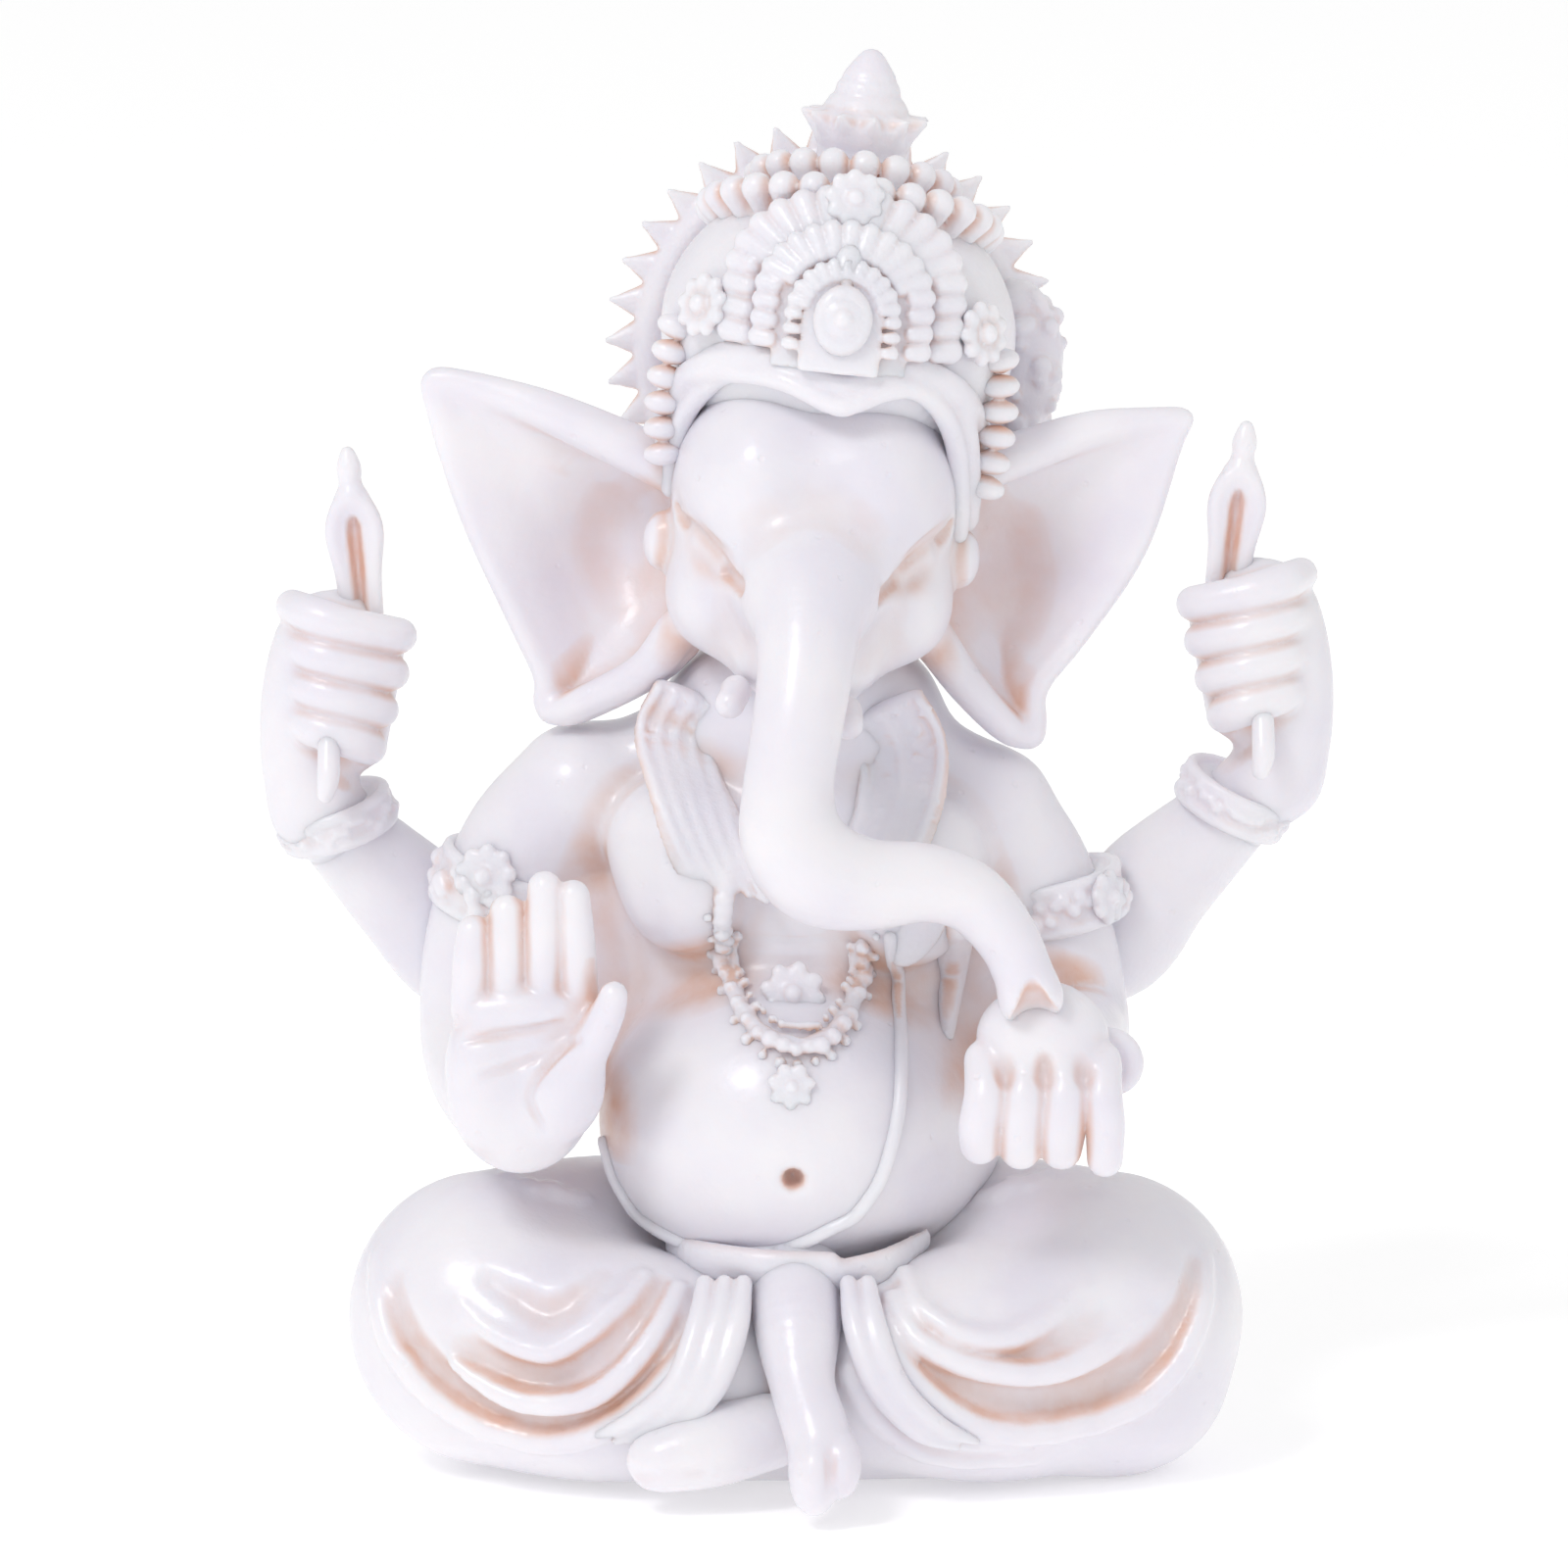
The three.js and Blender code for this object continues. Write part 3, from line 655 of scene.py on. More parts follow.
def sculpt_stole(torso, side, name):
    """The cloth over a shoulder: it narrows to a plaited cord on one side and hangs in tips on the other."""
    clay = Clay(*mirrored_box(side, (0, -17, 28), (16, 7, 56)), FINE_STEP)
    look = STOLES[name]
    path = [p[:3] for p in torso.draped([(x * side, z) for x, z in look["line"]], 0.15)]
    ribbed_band(clay, path, (1, 0, 0.35 * side), look["wide"], 0.6, look["ribs"], 20 + side)
    if side < 0:
        hanging = smooth_path([(-4.9, 41.4, 0.85), (-5.2, 39, 0.75), (-5, 36.6, 0.75)], 7)
        for x, y, z, r in torso.draped(hanging, 0.4):
            clay.add(egg((x, y, z), (r, r * 0.9, r * 0.7)), soft=0.3)
    else:
        hung = torso.draped([(9.4, 40.6, 1), (6.8, 36, 1)], 0.6)
        clay.add(petal(hung[0][:3], hung[1][:3], 3.4, 1.5, (0.2, -1, 0)), soft=0.3)
        fall = torso.draped([(10.8, 38, 1.2), (10.6, 34, 1.1), (10.2, 30, 0.5)], 0)
        clay.add(tube(fall), soft=0.4)
    return clay


def sculpt_garland(torso):
    """Rows of beads on a cord that hangs in a U, with small drops outside it."""
    clay = Clay((-8, -19, 26), (9, 0, 42), FINE_STEP)
    line = [(-5, 37.6), (-4.5, 34.6), (-3, 32), (-0.4, 30.7), (2.2, 31.2), (4, 33.4), (4.6, 36.6)]
    cord = [(x, z, 0.6) for x, z in smooth_path(line, 22)]
    clay.add(tube(torso.draped(cord, 0.1), 44))
    random = np.random.default_rng(5)
    outer = smooth_path([(x * 1.06, (z - 34) * 1.1 + 34) for x, z in line], 21)
    inner = smooth_path([(x * 0.86, (z - 37) * 0.86 + 37) for x, z in line], 24)
    drops = smooth_path([(x * 1.2, (z - 34) * 1.34 + 34) for x, z in line], 17)
    for row, size, lift in ((outer, 0.52, 0.6), (inner, 0.34, 0.5), (drops, 0.38, 0.1)):
        for x, y, z in torso.draped([(x, z) for x, z in row], lift):
            clay.add(egg((x, y, z), size * random.uniform(0.85, 1.2)), soft=0.15)
    return clay


def sculpt_flower(centre, normal, radius, petals):
    """A round flower with a bead in the middle, facing along normal."""
    centre, normal = np.asarray(centre, float), unit(normal)
    reach = radius + 1.5
    clay = Clay(centre - reach, centre + reach, FINE_STEP)
    side = unit(np.cross(normal, (0, 0, 1)))
    up = np.cross(side, normal)
    clay.add(egg(centre - 0.1 * normal, (radius * 0.8, radius * 0.8, radius * 0.35), [side, up, normal]))
    for c, s in spokes(petals, 0.3):
        out = c * side + s * up
        tip = centre + out * radius + normal * radius * 0.12
        clay.add(petal(centre + out * radius * 0.15, tip, radius * 0.62, radius * 0.42, normal), soft=0.12)
    clay.add(egg(centre + normal * radius * 0.22, radius * 0.3), soft=0.1)
    return clay


# --- hands


def sculpt_raised_hand():
    """The right hand, palm to the front, with its fingers held together."""
    clay = Clay((-28, -22, 18), (-8, -8, 47), FINE_STEP)
    clay.add(tube([(-19.6, -9.5, 25.4, 2.8), (-18.6, -13, 26.2, 3.4)]))
    clay.add(egg((-18.2, -14, 29.4), (5.2, 2.6, 6.6)), soft=2)
    clay.add(egg((-15.7, -15.4, 28.2), (2.9, 2, 3.6), turning(y=-18)), soft=0.8)
    clay.add(egg((-21, -15.2, 29), (2.1, 1.7, 4.6)), soft=1)
    clay.add(egg((-18, -15.2, 33.6), (4.5, 1.4, 1.5)), soft=0.8)
    web = [(-18.1, -13.9, 32, 3.7, 0.9), (-18, -14.2, 37, 3.6, 0.75), (-17.4, -14.2, 40.2, 2.6, 0.5)]
    clay.add(strap(web, (1, 0, 0)), soft=0.4)
    for x0, z0, x1, z1, r in RAISED_FINGERS:
        middle = ((x0 + x1) / 2, -15, (z0 + z1) / 2, r)
        clay.add(tube([(x0, -14.6, z0, r), middle, (x1, -14.7, z1 - r, r * 0.9)]), soft=0.35)
    thumb = [(-15.6, -15.4, 28.8, 1.9), (-13.7, -16.2, 31.4, 1.4), (-12.5, -16.8, 33.8, 1.15),
        (-12.1, -17, 35, 0.95)]
    clay.add(tube(thumb), soft=1)
    for crease in PALM_CREASES:
        clay.groove(crease, 0.05, 0.45)
    return clay


# each finger's root and tip in x and z, and its radius, from the little finger
RAISED_FINGERS = [
    (-21.8, 33.6, -21.5, 40.1, 1.2),
    (-19.3, 34.2, -19.2, 41.5, 1.22),
    (-16.8, 34.4, -16.7, 43.1, 1.28),
    (-14.3, 33.8, -14.8, 42.5, 1.22),
]


PALM_CREASES = [
    [(-21.8, 31.8, 0.22), (-19, 32.4, 0.24), (-15.6, 33, 0.2)],
    [(-20.8, 29.6, 0.2), (-18, 30.4, 0.24), (-14.4, 32, 0.22)],
    [(-16.8, 26, 0.2), (-17.6, 28.6, 0.26), (-15, 31.8, 0.24)],
]


def sculpt_drooping_hand():
    """The left hand hangs over the knee, back to the front, under the tip of the trunk."""
    clay = Clay((7, -25, 20), (26, -9, 38), FINE_STEP)
    clay.add(tube([(17.6, -11, 31.4, 2.7), (16.8, -13.6, 32.2, 2.9)]))
    clay.add(egg((16.4, -15.8, 32), (4.4, 3.4, 3.5)), soft=1.5)
    clay.add(egg((16.6, -17, 30), (5, 2.4, 2)), soft=1)
    fingers = [(12.6, 12.2, 25.2, 1.45), (15.1, 14.9, 24.9, 1.5), (17.8, 17.6, 24.9, 1.5),
        (20.3, 20.5, 24.2, 1.3)]
    for x0, x1, z1, r in fingers:
        clay.add(tube([(x0, -17, 30.6, r), (x0, -18.8, 28.6, r * 1.02), (x1, -19, 26.6, r),
            (x1, -18.4, z1, r * 0.92)]), soft=0.35)
    for x in (13.8, 16.4, 19):
        clay.cut(egg((x, -19.4, 30.4), (0.45, 0.7, 0.9)), soft=0.8)
    return clay


# --- rear arms


REAR = {
    "right": dict(
        shoulder=(-10, 7, 42), upper=(-17.6, 8.6, 35.6), elbow=(-22.6, 8.6, 33.6), lower=(-26.4, 7.4, 37.2),
        wrist=(-30.8, 5.4, 42), cuff=(-31.5, 5, 43.4), cuff_axis=(-0.3, -0.15, 0.94), fist=(-31.3, 3.2, 52),
        noose=(-29.6, 3.2, 58.6), noose_lean=-5, stub=(-31.7, -1.8, 47.3),
    ),
    "left": dict(
        shoulder=(10, 7, 41), upper=(16.4, 8.6, 35.8), elbow=(21.4, 8.6, 34.4), lower=(25, 7.4, 38.6),
        wrist=(29.4, 5.4, 43.2), cuff=(30.1, 5, 44.7), cuff_axis=(0.42, -0.15, 0.88),
        fist=(31.4, 3.2, 54.2),
        noose=(29.4, 3.2, 60.4), noose_lean=7, stub=(31.7, -1.8, 48.9),
    ),
}


def sculpt_rear_arm(arm):
    low = np.min([arm["shoulder"], arm["wrist"], arm["elbow"]], axis=0) - 7
    high = np.max([arm["shoulder"], arm["wrist"], arm["elbow"]], axis=0) + 7
    clay = Clay(low, high, BODY_STEP)
    radii = (4.4, 4.6, 4.5, 4, 3.1)
    names = ("shoulder", "upper", "elbow", "lower", "wrist")
    clay.add(tube([(*arm[n], r) for n, r in zip(names, radii)], 32))
    return clay


def sculpt_cuff(at, axis, radius, wide, lumps, lump, seed):
    """A bracelet or armlet with two rims and a rough floral band between them."""
    at, axis = np.asarray(at, float), unit(axis)
    reach = radius + 2.5
    clay = Clay(at - reach, at + reach, FINE_STEP)
    clay.add(drum(at, axis, radius + 0.35, wide, 0.4))
    for end in (-1, 1):
        clay.add(ring(at + axis * wide * end, axis, radius + 0.1, 0.42), soft=0.3)
    random = np.random.default_rng(seed)
    side = unit(np.cross(axis, (0, 1, 0)))
    fore = np.cross(side, axis)
    for c, s in spokes(lumps):
        out = c * side + s * fore
        spot = at + out * (radius + 0.35) + axis * random.uniform(-0.6, 0.6) * wide
        clay.add(egg(spot, random.uniform(0.3, lump)), soft=0.25)
    return clay


def sculpt_fist(arm, side):
    """A closed hand: the back of the palm outside, four fingers wrapped round the front."""
    fist = np.array(arm["fist"])
    clay = Clay(fist - (9, 8, 13), fist + (9, 8, 10), FINE_STEP)

    def rod(*stations):
        return tube([(*(fist + (out * side, y, z)), r) for out, y, z, r in stations])

    clay.add(bone((*arm["wrist"], 3), (*(fist + (1.6 * side, 1, -7.5)), 3)))
    clay.add(rod((1.6, 1, -8, 2.9), (2.1, 0.8, -4.5, 3.2), (2, 0.6, 0, 3.2), (1.2, 0.4, 3.8, 3),
        (0, 0.2, 5, 2.4)), soft=1)
    clay.add(rod((-1.4, 0.4, -3, 2), (-2.4, 0.4, 3.4, 2.2)), soft=1.5)
    for i, reach in enumerate((4.2, 3.7, 3, 2.2)):
        z = 5.2 - 2.55 * i
        finger = rod(
            (3, -0.2, z + 1.1, 1.15), (1.6, -2.5, z + 0.8, 1.35), (-0.8, -3.1, z + 0.1, 1.36),
            (-reach, -1.8, z - 0.7, 1.25), (0.8 - reach, 0.8, z - 0.8, 1.1),
        )
        clay.add(finger, soft=0.4)
    return clay


def sculpt_noose(arm, side):
    """A closed loop of cord with a slot through it and a bud on top."""
    base = np.array(arm["noose"])
    clay = Clay(base - (4, 3.5, 2), base + (4, 3.5, 13), FINE_STEP)
    turn = turning(y=arm["noose_lean"])

    def placed(shape):
        return moved(shape, turn, base)

    body = [(0, 0, -0.8, 1.35, 0.9), (0, 0, 2.4, 1.6, 0.95), (0, 0, 5, 1.95, 1), (0, 0, 7, 1.2, 0.9)]
    clay.add(placed(strap(body, (1, 0, 0))))
    for x in (-1, 1):
        rim = [(x, -0.6, -0.8, 0.45), (1.15 * x, -0.7, 2, 0.45), (1.5 * x, -0.7, 4.8, 0.5),
            (x, -0.6, 6.5, 0.5), (0, -0.4, 7.4, 0.6)]
        clay.add(placed(tube(rim)), soft=0.35)
    clay.cut(placed(strap([(0, -1.3, -0.4, 0.36, 1.2), (0, -1.3, 4.9, 0.52, 1.2)], (1, 0, 0))), soft=0.3)
    clay.add(placed(tube([(0, 0, 7.2, 1), (0, 0, 8.3, 0.78), (0, 0, 9.2, 0.85), (0, 0, 10.2, 0.5)])),
        soft=0.3)
    return clay


def sculpt_stub(arm):
    stub = np.array(arm["stub"])
    clay = Clay(stub - (2.5, 4, 4.5), stub + (2.5, 4, 4.5), FINE_STEP)
    clay.add(tube([(*(stub + (0, 1, 2)), 0.78), (*stub, 0.78), (*(stub + (-0.2, -0.2, -1.2)), 0.6)]))
    return clay


# --- head


def sculpt_head():
    clay = Clay((-27.5, -26, 31), (27.5, 11, 78), HEAD_STEP)
    sculpt_skull(clay)
    for side, name in SIDES:
        sculpt_ear(clay, side, EAR_EDGES[name])
    clay.add(tube(TRUNK, 78), soft=2)
    clay.cut(tube([(15.5, -20.9, 37, 0.15), (15.7, -20.4, 35.2, 0.9), (15.9, -19.4, 32.4, 2.2)]), soft=0.4)
    for side, _ in SIDES:
        sculpt_eye(clay, side)
    return clay


def sculpt_skull(clay):
    """A broad smooth forehead over a full, square-sided face."""
    clay.add(on_face(egg((0, -0.6, 66.5), (9.4, 9.8, 9.6))))
    clay.add(on_face(egg((0, -0.8, 60.6), (9.4, 8.4, 6.4))), soft=3)
    clay.add(on_face(egg((0, -6.4, 56.6), (5.4, 6, 3.6))), soft=2.5)
    clay.add(on_face(egg((0.3, -6, 53.6), (2.8, 3.4, 2))), soft=1.5)
    for side, _ in SIDES:
        clay.add(on_face(egg((3.5 * side, -5.4, 67.6), (5.4, 7, 6.4))), soft=3)
        clay.add(on_face(egg((6.2 * side, -4.8, 59.6), (3.3, 4.2, 3.5))), soft=2)
        clay.add(on_face(egg((10.2 * side, -1.4, 62.8), (1.2, 1.6, 2))), soft=0.9)


def sculpt_eye(clay, side):
    """A slanting slit: a shallow hollow with the eye's low bulge, a lid above it and a pit at each corner."""
    turn = math.radians(FACE_ROLL)
    c, s = math.cos(turn), math.sin(turn)

    def skin(*points):
        level = [(x * side, z - NECK[2], r) for x, z, r in points]
        return [(NECK[0] - 0.1 + c * x + s * z, NECK[2] - s * x + c * z, r) for x, z, r in level]

    hollow = skin((4.8, 61.5, 0.4), (6.4, 62.9, 1.2), (7.8, 64.2, 1.2), (9.2, 65.4, 0.6))
    bulge = skin((6, 62.5, 0.6), (7.5, 63.8, 0.65))
    lid = skin((4.8, 62.5, 0.2), (6.2, 64, 0.36), (7.8, 65.2, 0.36), (9.3, 65.7, 0.2))
    clay.groove(hollow, 0.3, 1)
    clay.ridge(bulge, -0.3, 0.5)
    clay.ridge(lid, -0.2, 0.7)
    clay.groove(skin((8.4, 64.7, 0.4), (9.2, 65.3, 0.6)), 0, 0.3)
    clay.groove(skin((4.6, 61.3, 0.6), (5.5, 62, 0.4)), 0, 0.3)
    clay.cut(on_face(egg((4.6 * side, -11.4, 56), (1, 1.6, 1.8))), soft=1)


# x, y, z and radius along the trunk, from between the eyes to the tip
TRUNK = [
    (1, -7.6, 62.4, 5.8), (0.9, -11.6, 61.4, 4.7), (0.8, -14.8, 59.6, 3.6), (0.6, -17, 57, 3.2),
    (0.1, -18.9, 53.4, 3),
    (-0.5, -19.9, 49.4, 3), (-0.3, -20.2, 46.2, 3.4), (1.4, -20.3, 43.9, 3.55), (4.6, -20.1, 43, 3.05),
    (8.6, -19.6, 43, 2.6), (11.7, -19, 41.8, 2.35), (13.9, -18.6, 39.2, 2.1), (15, -18.5, 36.8, 2),
    (15.5, -18.7, 35.2, 2.2),
]


EAR_EDGES = {
    "right": [
        (8, 68.4), (12, 70.4), (19, 72.7), (26.2, 73.6), (26, 70), (23.8, 64.2), (20.1, 56.8), (18.2, 53.2),
        (18.3, 51.2),
        (16.8, 50), (14.4, 50.4), (8.1, 54.3), (5, 60),
    ],
    "left": [
        (8, 68.4), (13, 70), (19, 72), (25.4, 72.8), (24.7, 70), (22.8, 63.3), (19.1, 57.3), (16.4, 53.6),
        (16.5, 51.2),
        (15.3, 49.6), (12.4, 51.4), (8.6, 55.4), (5, 60),
    ],
}


def sculpt_ear(clay, side, outline):
    """A thin dish, deepest near the head, with a thick rolled upper edge and a roll along the foot."""
    edge = smooth_path(outline, 44)
    edge = np.vstack([edge, edge[:1]])

    def distance(x, y, z):
        x = x * side
        inside = outline_distance(x, z, edge)
        deep = np.clip(-inside / 5, 0, 1)
        deep = deep * deep * (3 - 2 * deep)
        near = np.clip(1 - (x - 8) / 20, 0.25, 1)
        pocket = np.exp(-(((x - 13.4) / 4.2) ** 2) - ((z - 62) / 5.5) ** 2)
        middle = 0.1 + 0.1 * (x - 9) + 2.8 * deep * near + 3.2 * pocket
        a = inside + 0.5
        b = np.abs(y - middle) - 0.5
        outside = np.sqrt(np.maximum(a, 0) ** 2 + np.maximum(b, 0) ** 2)
        return outside + np.minimum(np.maximum(a, b), 0) - 0.5

    xs = sorted((4 * side, 27.5 * side))
    clay.add(on_ears(Shape((xs[0], -2, 48), (xs[1], 9.5, 75), distance)), soft=1)

    def roll(*stations):
        clay.add(on_ears(tube([(x * side, y, z, r) for x, y, z, r in stations])), soft=0.8)

    tip, low, heel = outline[3], outline[9], outline[7]
    roll((8.4, -0.6, 67.4, 1.8), (13, -0.2, 69.3, 1.6), (19, 0.6, 71.5, 1.25),
        (tip[0] - 0.8, 1.7, tip[1] - 0.4, 0.5))
    roll((8.6, -1.2, 57, 1.5), (11, -1.2, 53.9, 1.3), (low[0] - 1.4, -0.4, low[1] + 1.4, 1.1),
        (low[0] + 0.2, 0.2, low[1] + 0.8, 0.7))
    roll((tip[0] - 0.7, 1.7, tip[1] - 1, 0.5), (outline[5][0] - 0.6, 1.4, outline[5][1], 0.55),
         (outline[6][0] - 0.6, 1, outline[6][1], 0.6), (heel[0] - 0.5, 0.7, heel[1], 0.6),
         (low[0] + 0.4, 0.2, low[1] + 1, 0.6))


def outline_distance(x, z, edge):
    """Signed distance to a closed outline in the XZ plane, negative inside."""
    x, z = np.broadcast_arrays(x, z)
    nearest = np.full(x.shape, np.float32(1e9))
    inside = np.zeros(x.shape, bool)
    for (ax, az), (bx, bz) in zip(edge[:-1], edge[1:]):
        rx, rz = bx - ax, bz - az
        px, pz = x - ax, z - az
        t = np.clip((px * rx + pz * rz) / max(rx * rx + rz * rz, 1e-9), 0, 1)
        nearest = np.minimum(nearest, (px - t * rx) ** 2 + (pz - t * rz) ** 2)
        crosses = (az > z) != (bz > z)
        with np.errstate(divide="ignore", invalid="ignore"):
            inside ^= crosses & (x < ax + rx * pz / (rz if rz else 1e-9))
    return np.sqrt(nearest) * np.where(inside, -1, 1)


TUSKS = {
    "right": [(-4, -10, 54.4, 1.05), (-4.4, -12, 53.8, 1)],
    "left": [(3.4, -10, 53, 1.05), (3.5, -12.2, 52.4, 1)],
}


def sculpt_tusk(name):
    root, tip = np.array(TUSKS[name][0][:3]), np.array(TUSKS[name][-1][:3])
    clay = Clay(np.minimum(root, tip) - 3, np.maximum(root, tip) + 3, FINE_STEP)
    clay.add(tube(TUSKS[name]))
    return clay


# --- crown

DOME_AT = np.array((-0.3, 0.5, 77.5))
DOME_RADII = np.array((12, 11, 10.2))


def dome_point(x, z, lift):
    """A point on the upright dome's front at x and z, and its outward direction."""
    u, w = (x - DOME_AT[0]) / DOME_RADII[0], (z - DOME_AT[2]) / DOME_RADII[2]
    v = -math.sqrt(max(1 - u * u - w * w, 0.02))
    normal = unit((u / DOME_RADII[0], v / DOME_RADII[1], w / DOME_RADII[2]))
    return DOME_AT + (u * DOME_RADII[0], v * DOME_RADII[1], w * DOME_RADII[2]) + lift * normal, normal


def crown_clay(low, high):
    """A block that holds a piece made upright between two corners, once it is rolled with the crown."""
    rolled = on_crown(Shape(low, high, distance=abs))
    return Clay(rolled.low - 1, rolled.high + 1, FINE_STEP)


def sculpt_dome():
    clay = crown_clay((-13, -12, 66), (13, 12.5, 89))
    clay.add(on_crown(egg(DOME_AT, DOME_RADII)))
    return clay


# the lower roll of the band, in x, y and z, from the right temple over the brow to the left one
BROW_ROLL = [
    (-10.4, -1.6, 66), (-10.4, -3, 69), (-9.9, -4.6, 71.6), (-8.5, -6.8, 73.9), (-7, -8.6, 75),
    (-3.7, -10.9, 75),
    (-0.3, -11.9, 73.9), (1, -11.8, 74.1), (2.9, -11.2, 75), (4.8, -10.2, 75.3), (6.7, -8.8, 74.1),
    (8.2, -6.8, 71.4),
    (9, -4, 67), (9.1, -2.4, 65),
]
CROWN_ROLL_LINE = [(-10.9, 74), (-9.2, 76), (-7.2, 76.8), (-3.9, 76.8), (-0.6, 76.2), (2.6, 76.8),
    (5.9, 77.2), (8.2, 76), (9.8, 73)]


def sculpt_band():
    """Two rolls round the brow, the lower one dipping in the middle, with a flat band between them."""
    clay = crown_clay((-13, -15, 63), (12, 0, 80))
    clay.add(on_crown(tube([(x * 1.03, y + 0.9, z + 1.1, 1.1) for x, y, z in BROW_ROLL], 60)))
    upper = [(*dome_point(x, z - 0.8, 0.35)[0], 0.55) for x, z in CROWN_ROLL_LINE]
    clay.add(on_crown(tube([(x, y + 0.4, z - 0.7, 0.9) for x, y, z, _ in upper], 48)), soft=0.6)
    clay.add(on_crown(tube([(*p, 0.72) for p in BROW_ROLL], 60)), soft=0.3)
    clay.add(on_crown(tube(upper, 48)), soft=0.3)
    return clay


FAN_BASE = 77.0


def tiara_point(x, z, lift):
    """A point on the crown's front, which leans back as it rises, and its outward direction."""
    rise = z - FAN_BASE
    y = -10.9 + 0.12 * rise + 0.018 * rise * rise + x * x / 20
    normal = unit((x / 10, -1, 0.12 + 0.036 * rise))
    return np.array((x - 0.3, y, z)) + lift * normal, normal


def arch_point(across, tall, turn):
    """The place on an arch's edge, and the way out of it. turn goes from -1 at one foot over the top to 1."""
    leg = 0.42 * tall
    if abs(turn) > 0.7:
        side = 1 if turn > 0 else -1
        return side * across, leg * (1 - abs(turn)) / 0.3, np.array((side, 0.1))
    angle = math.pi / 2 * (1 - turn / 0.7)
    out = np.array((math.cos(angle), math.sin(angle)))
    return across * out[0], leg + (tall - leg) * out[1], out


def sculpt_fan(across, tall, petals, lift, wide, inner):
    """An arch of round-ended petals against a plate. inner is how far in from the edge the petals start."""
    clay = crown_clay((-across - 3, -17, 74), (across + 3, 1, FAN_BASE + tall + 3))
    leg = 0.42 * tall

    def plate(x, y, z):
        rise = z - FAN_BASE
        surface = -10 + 0.12 * rise + 0.018 * rise * rise + (x + 0.3) ** 2 / 20 - lift
        over = np.maximum(rise - leg, 0) / (tall - leg)
        edge = (np.sqrt(((x + 0.3) / across) ** 2 + over**2) - 0.9) * min(across, tall - leg)
        return np.maximum(np.maximum(edge, -rise - 1), np.abs(y - surface) - 1)

    clay.add(on_crown(Shape((-across - 1, -14, FAN_BASE - 3), (across + 1, 1, FAN_BASE + tall + 1), plate)))
    for i in range(petals):
        x, rise, out = arch_point(across, tall, -0.94 + 1.88 * i / (petals - 1))
        length = inner * (1 if out[1] > 0.2 else 0.5)
        tip, _ = tiara_point(x, FAN_BASE + rise, lift)
        root, _ = tiara_point(x - length * out[0], FAN_BASE + rise - length * out[1], lift + 0.1)
        clay.add(on_crown(bone((*root, wide * 0.42), (*tip, wide * 0.5))), soft=0.12)
    return clay


def sculpt_jewel():
    """An oval plaque with a groove inside its edge and a round boss, under a single upright petal."""
    clay = crown_clay((-4, -18, 75), (4, -6, 87))
    centre, normal = tiara_point(0, FAN_BASE + 2.2, 2)
    up = unit(np.array((0, 0, 1)) - normal * normal[2])
    axes = [np.array((1.0, 0, 0)), up, normal]
    clay.add(on_crown(egg(centre, (2, 2.4, 0.8), axes)))
    clay.cut(on_crown(ring(centre + 0.72 * normal, normal, 1.35, 0.2)), soft=0.2)
    clay.add(on_crown(egg(centre + 0.6 * normal, 0.72)), soft=0.15)
    root, _ = tiara_point(0, FAN_BASE + 4.2, 1.7)
    tip, normal = tiara_point(0, FAN_BASE + 7, 1.5)
    clay.add(on_crown(petal(root, tip, 1.9, 1.1, normal)), soft=0.15)
    return clay


ROW_TILT = 17.0  # degrees by which the rows on the crown's top rise to the front
ROW_SETBACK = 1.4  # how far behind the dome's middle they stand


def sculpt_row(radius, z, petals, tall, wide, start=0.0):
    """Rounded petals that stand round the edge of a thick disc, tipped up towards the front like a tiara."""
    clay = crown_clay((-radius - 2, -radius - 2, z - 5), (radius + 2, radius + 3, z + tall + 4))
    centre = np.array((DOME_AT[0], DOME_AT[1] + ROW_SETBACK, z))
    tilt = turning(x=-ROW_TILT)

    def placed(shape):
        return on_crown(moved(shape, tilt, centre))

    clay.add(placed(drum((0, 0, -0.5), (0, 0, 1), radius - 0.5, 1.7, 0.6)))
    for c, s in spokes(petals, start):
        out = np.array((c, s, 0))
        if centre[1] + radius * out[1] > HALO_AT[1] - 1:
            continue
        root = out * (radius - 0.6) - (0, 0, 0.3)
        tip = out * (radius + 0.25) + (0, 0, tall - 0.5 * wide)
        clay.add(placed(bone((*root, wide * 0.42), (*tip, wide * 0.5))), soft=0.15)
    return clay


def sculpt_top_flower():
    """The flower in front of the upper row."""
    place = on_crown(egg((-0.3, -8.7, 87.3), 1))
    at = (place.low + place.high) / 2
    return sculpt_flower(at, (0.1, -1, 0.3), 2.1, 9)


def sculpt_rosette(side):
    """A flower of nine round petals with a bead in the middle."""
    clay = crown_clay(*mirrored_box(side, (5.5, -13, 74.5), (13, -2, 83.5)))
    centre, normal = dome_point(8.9 * side - 0.2, 79, 0.5)
    side_way = unit(np.cross(normal, (0, 0, 1)))
    up = np.cross(side_way, normal)
    for c, s in spokes(9):
        out = c * side_way + s * up
        root, tip = centre + out * 0.5, centre + out * 2.25 + normal * 0.35
        clay.add(on_crown(petal(root, tip, 1.3, 1.1, normal)), soft=0.1)
    clay.add(on_crown(egg(centre + normal * 0.5, 0.75)), soft=0.1)
    return clay


def sculpt_temple_beads(side):
    """A column of flat oval beads that stand out from the end of the band."""
    clay = crown_clay(*mirrored_box(side, (8, -8, 65), (15, 1, 79)))
    for i in range(6):
        z = 77.2 - 1.75 * i
        reach = 10.9 + 0.35 * math.sin(math.pi * i / 5)
        lean = turning(y=(14 - 5 * i) * side)
        clay.add(on_crown(egg((reach * side - 0.3, -4.6 + 0.25 * i, z), (1.35, 1, 0.82), lean)), soft=0.12)
    return clay


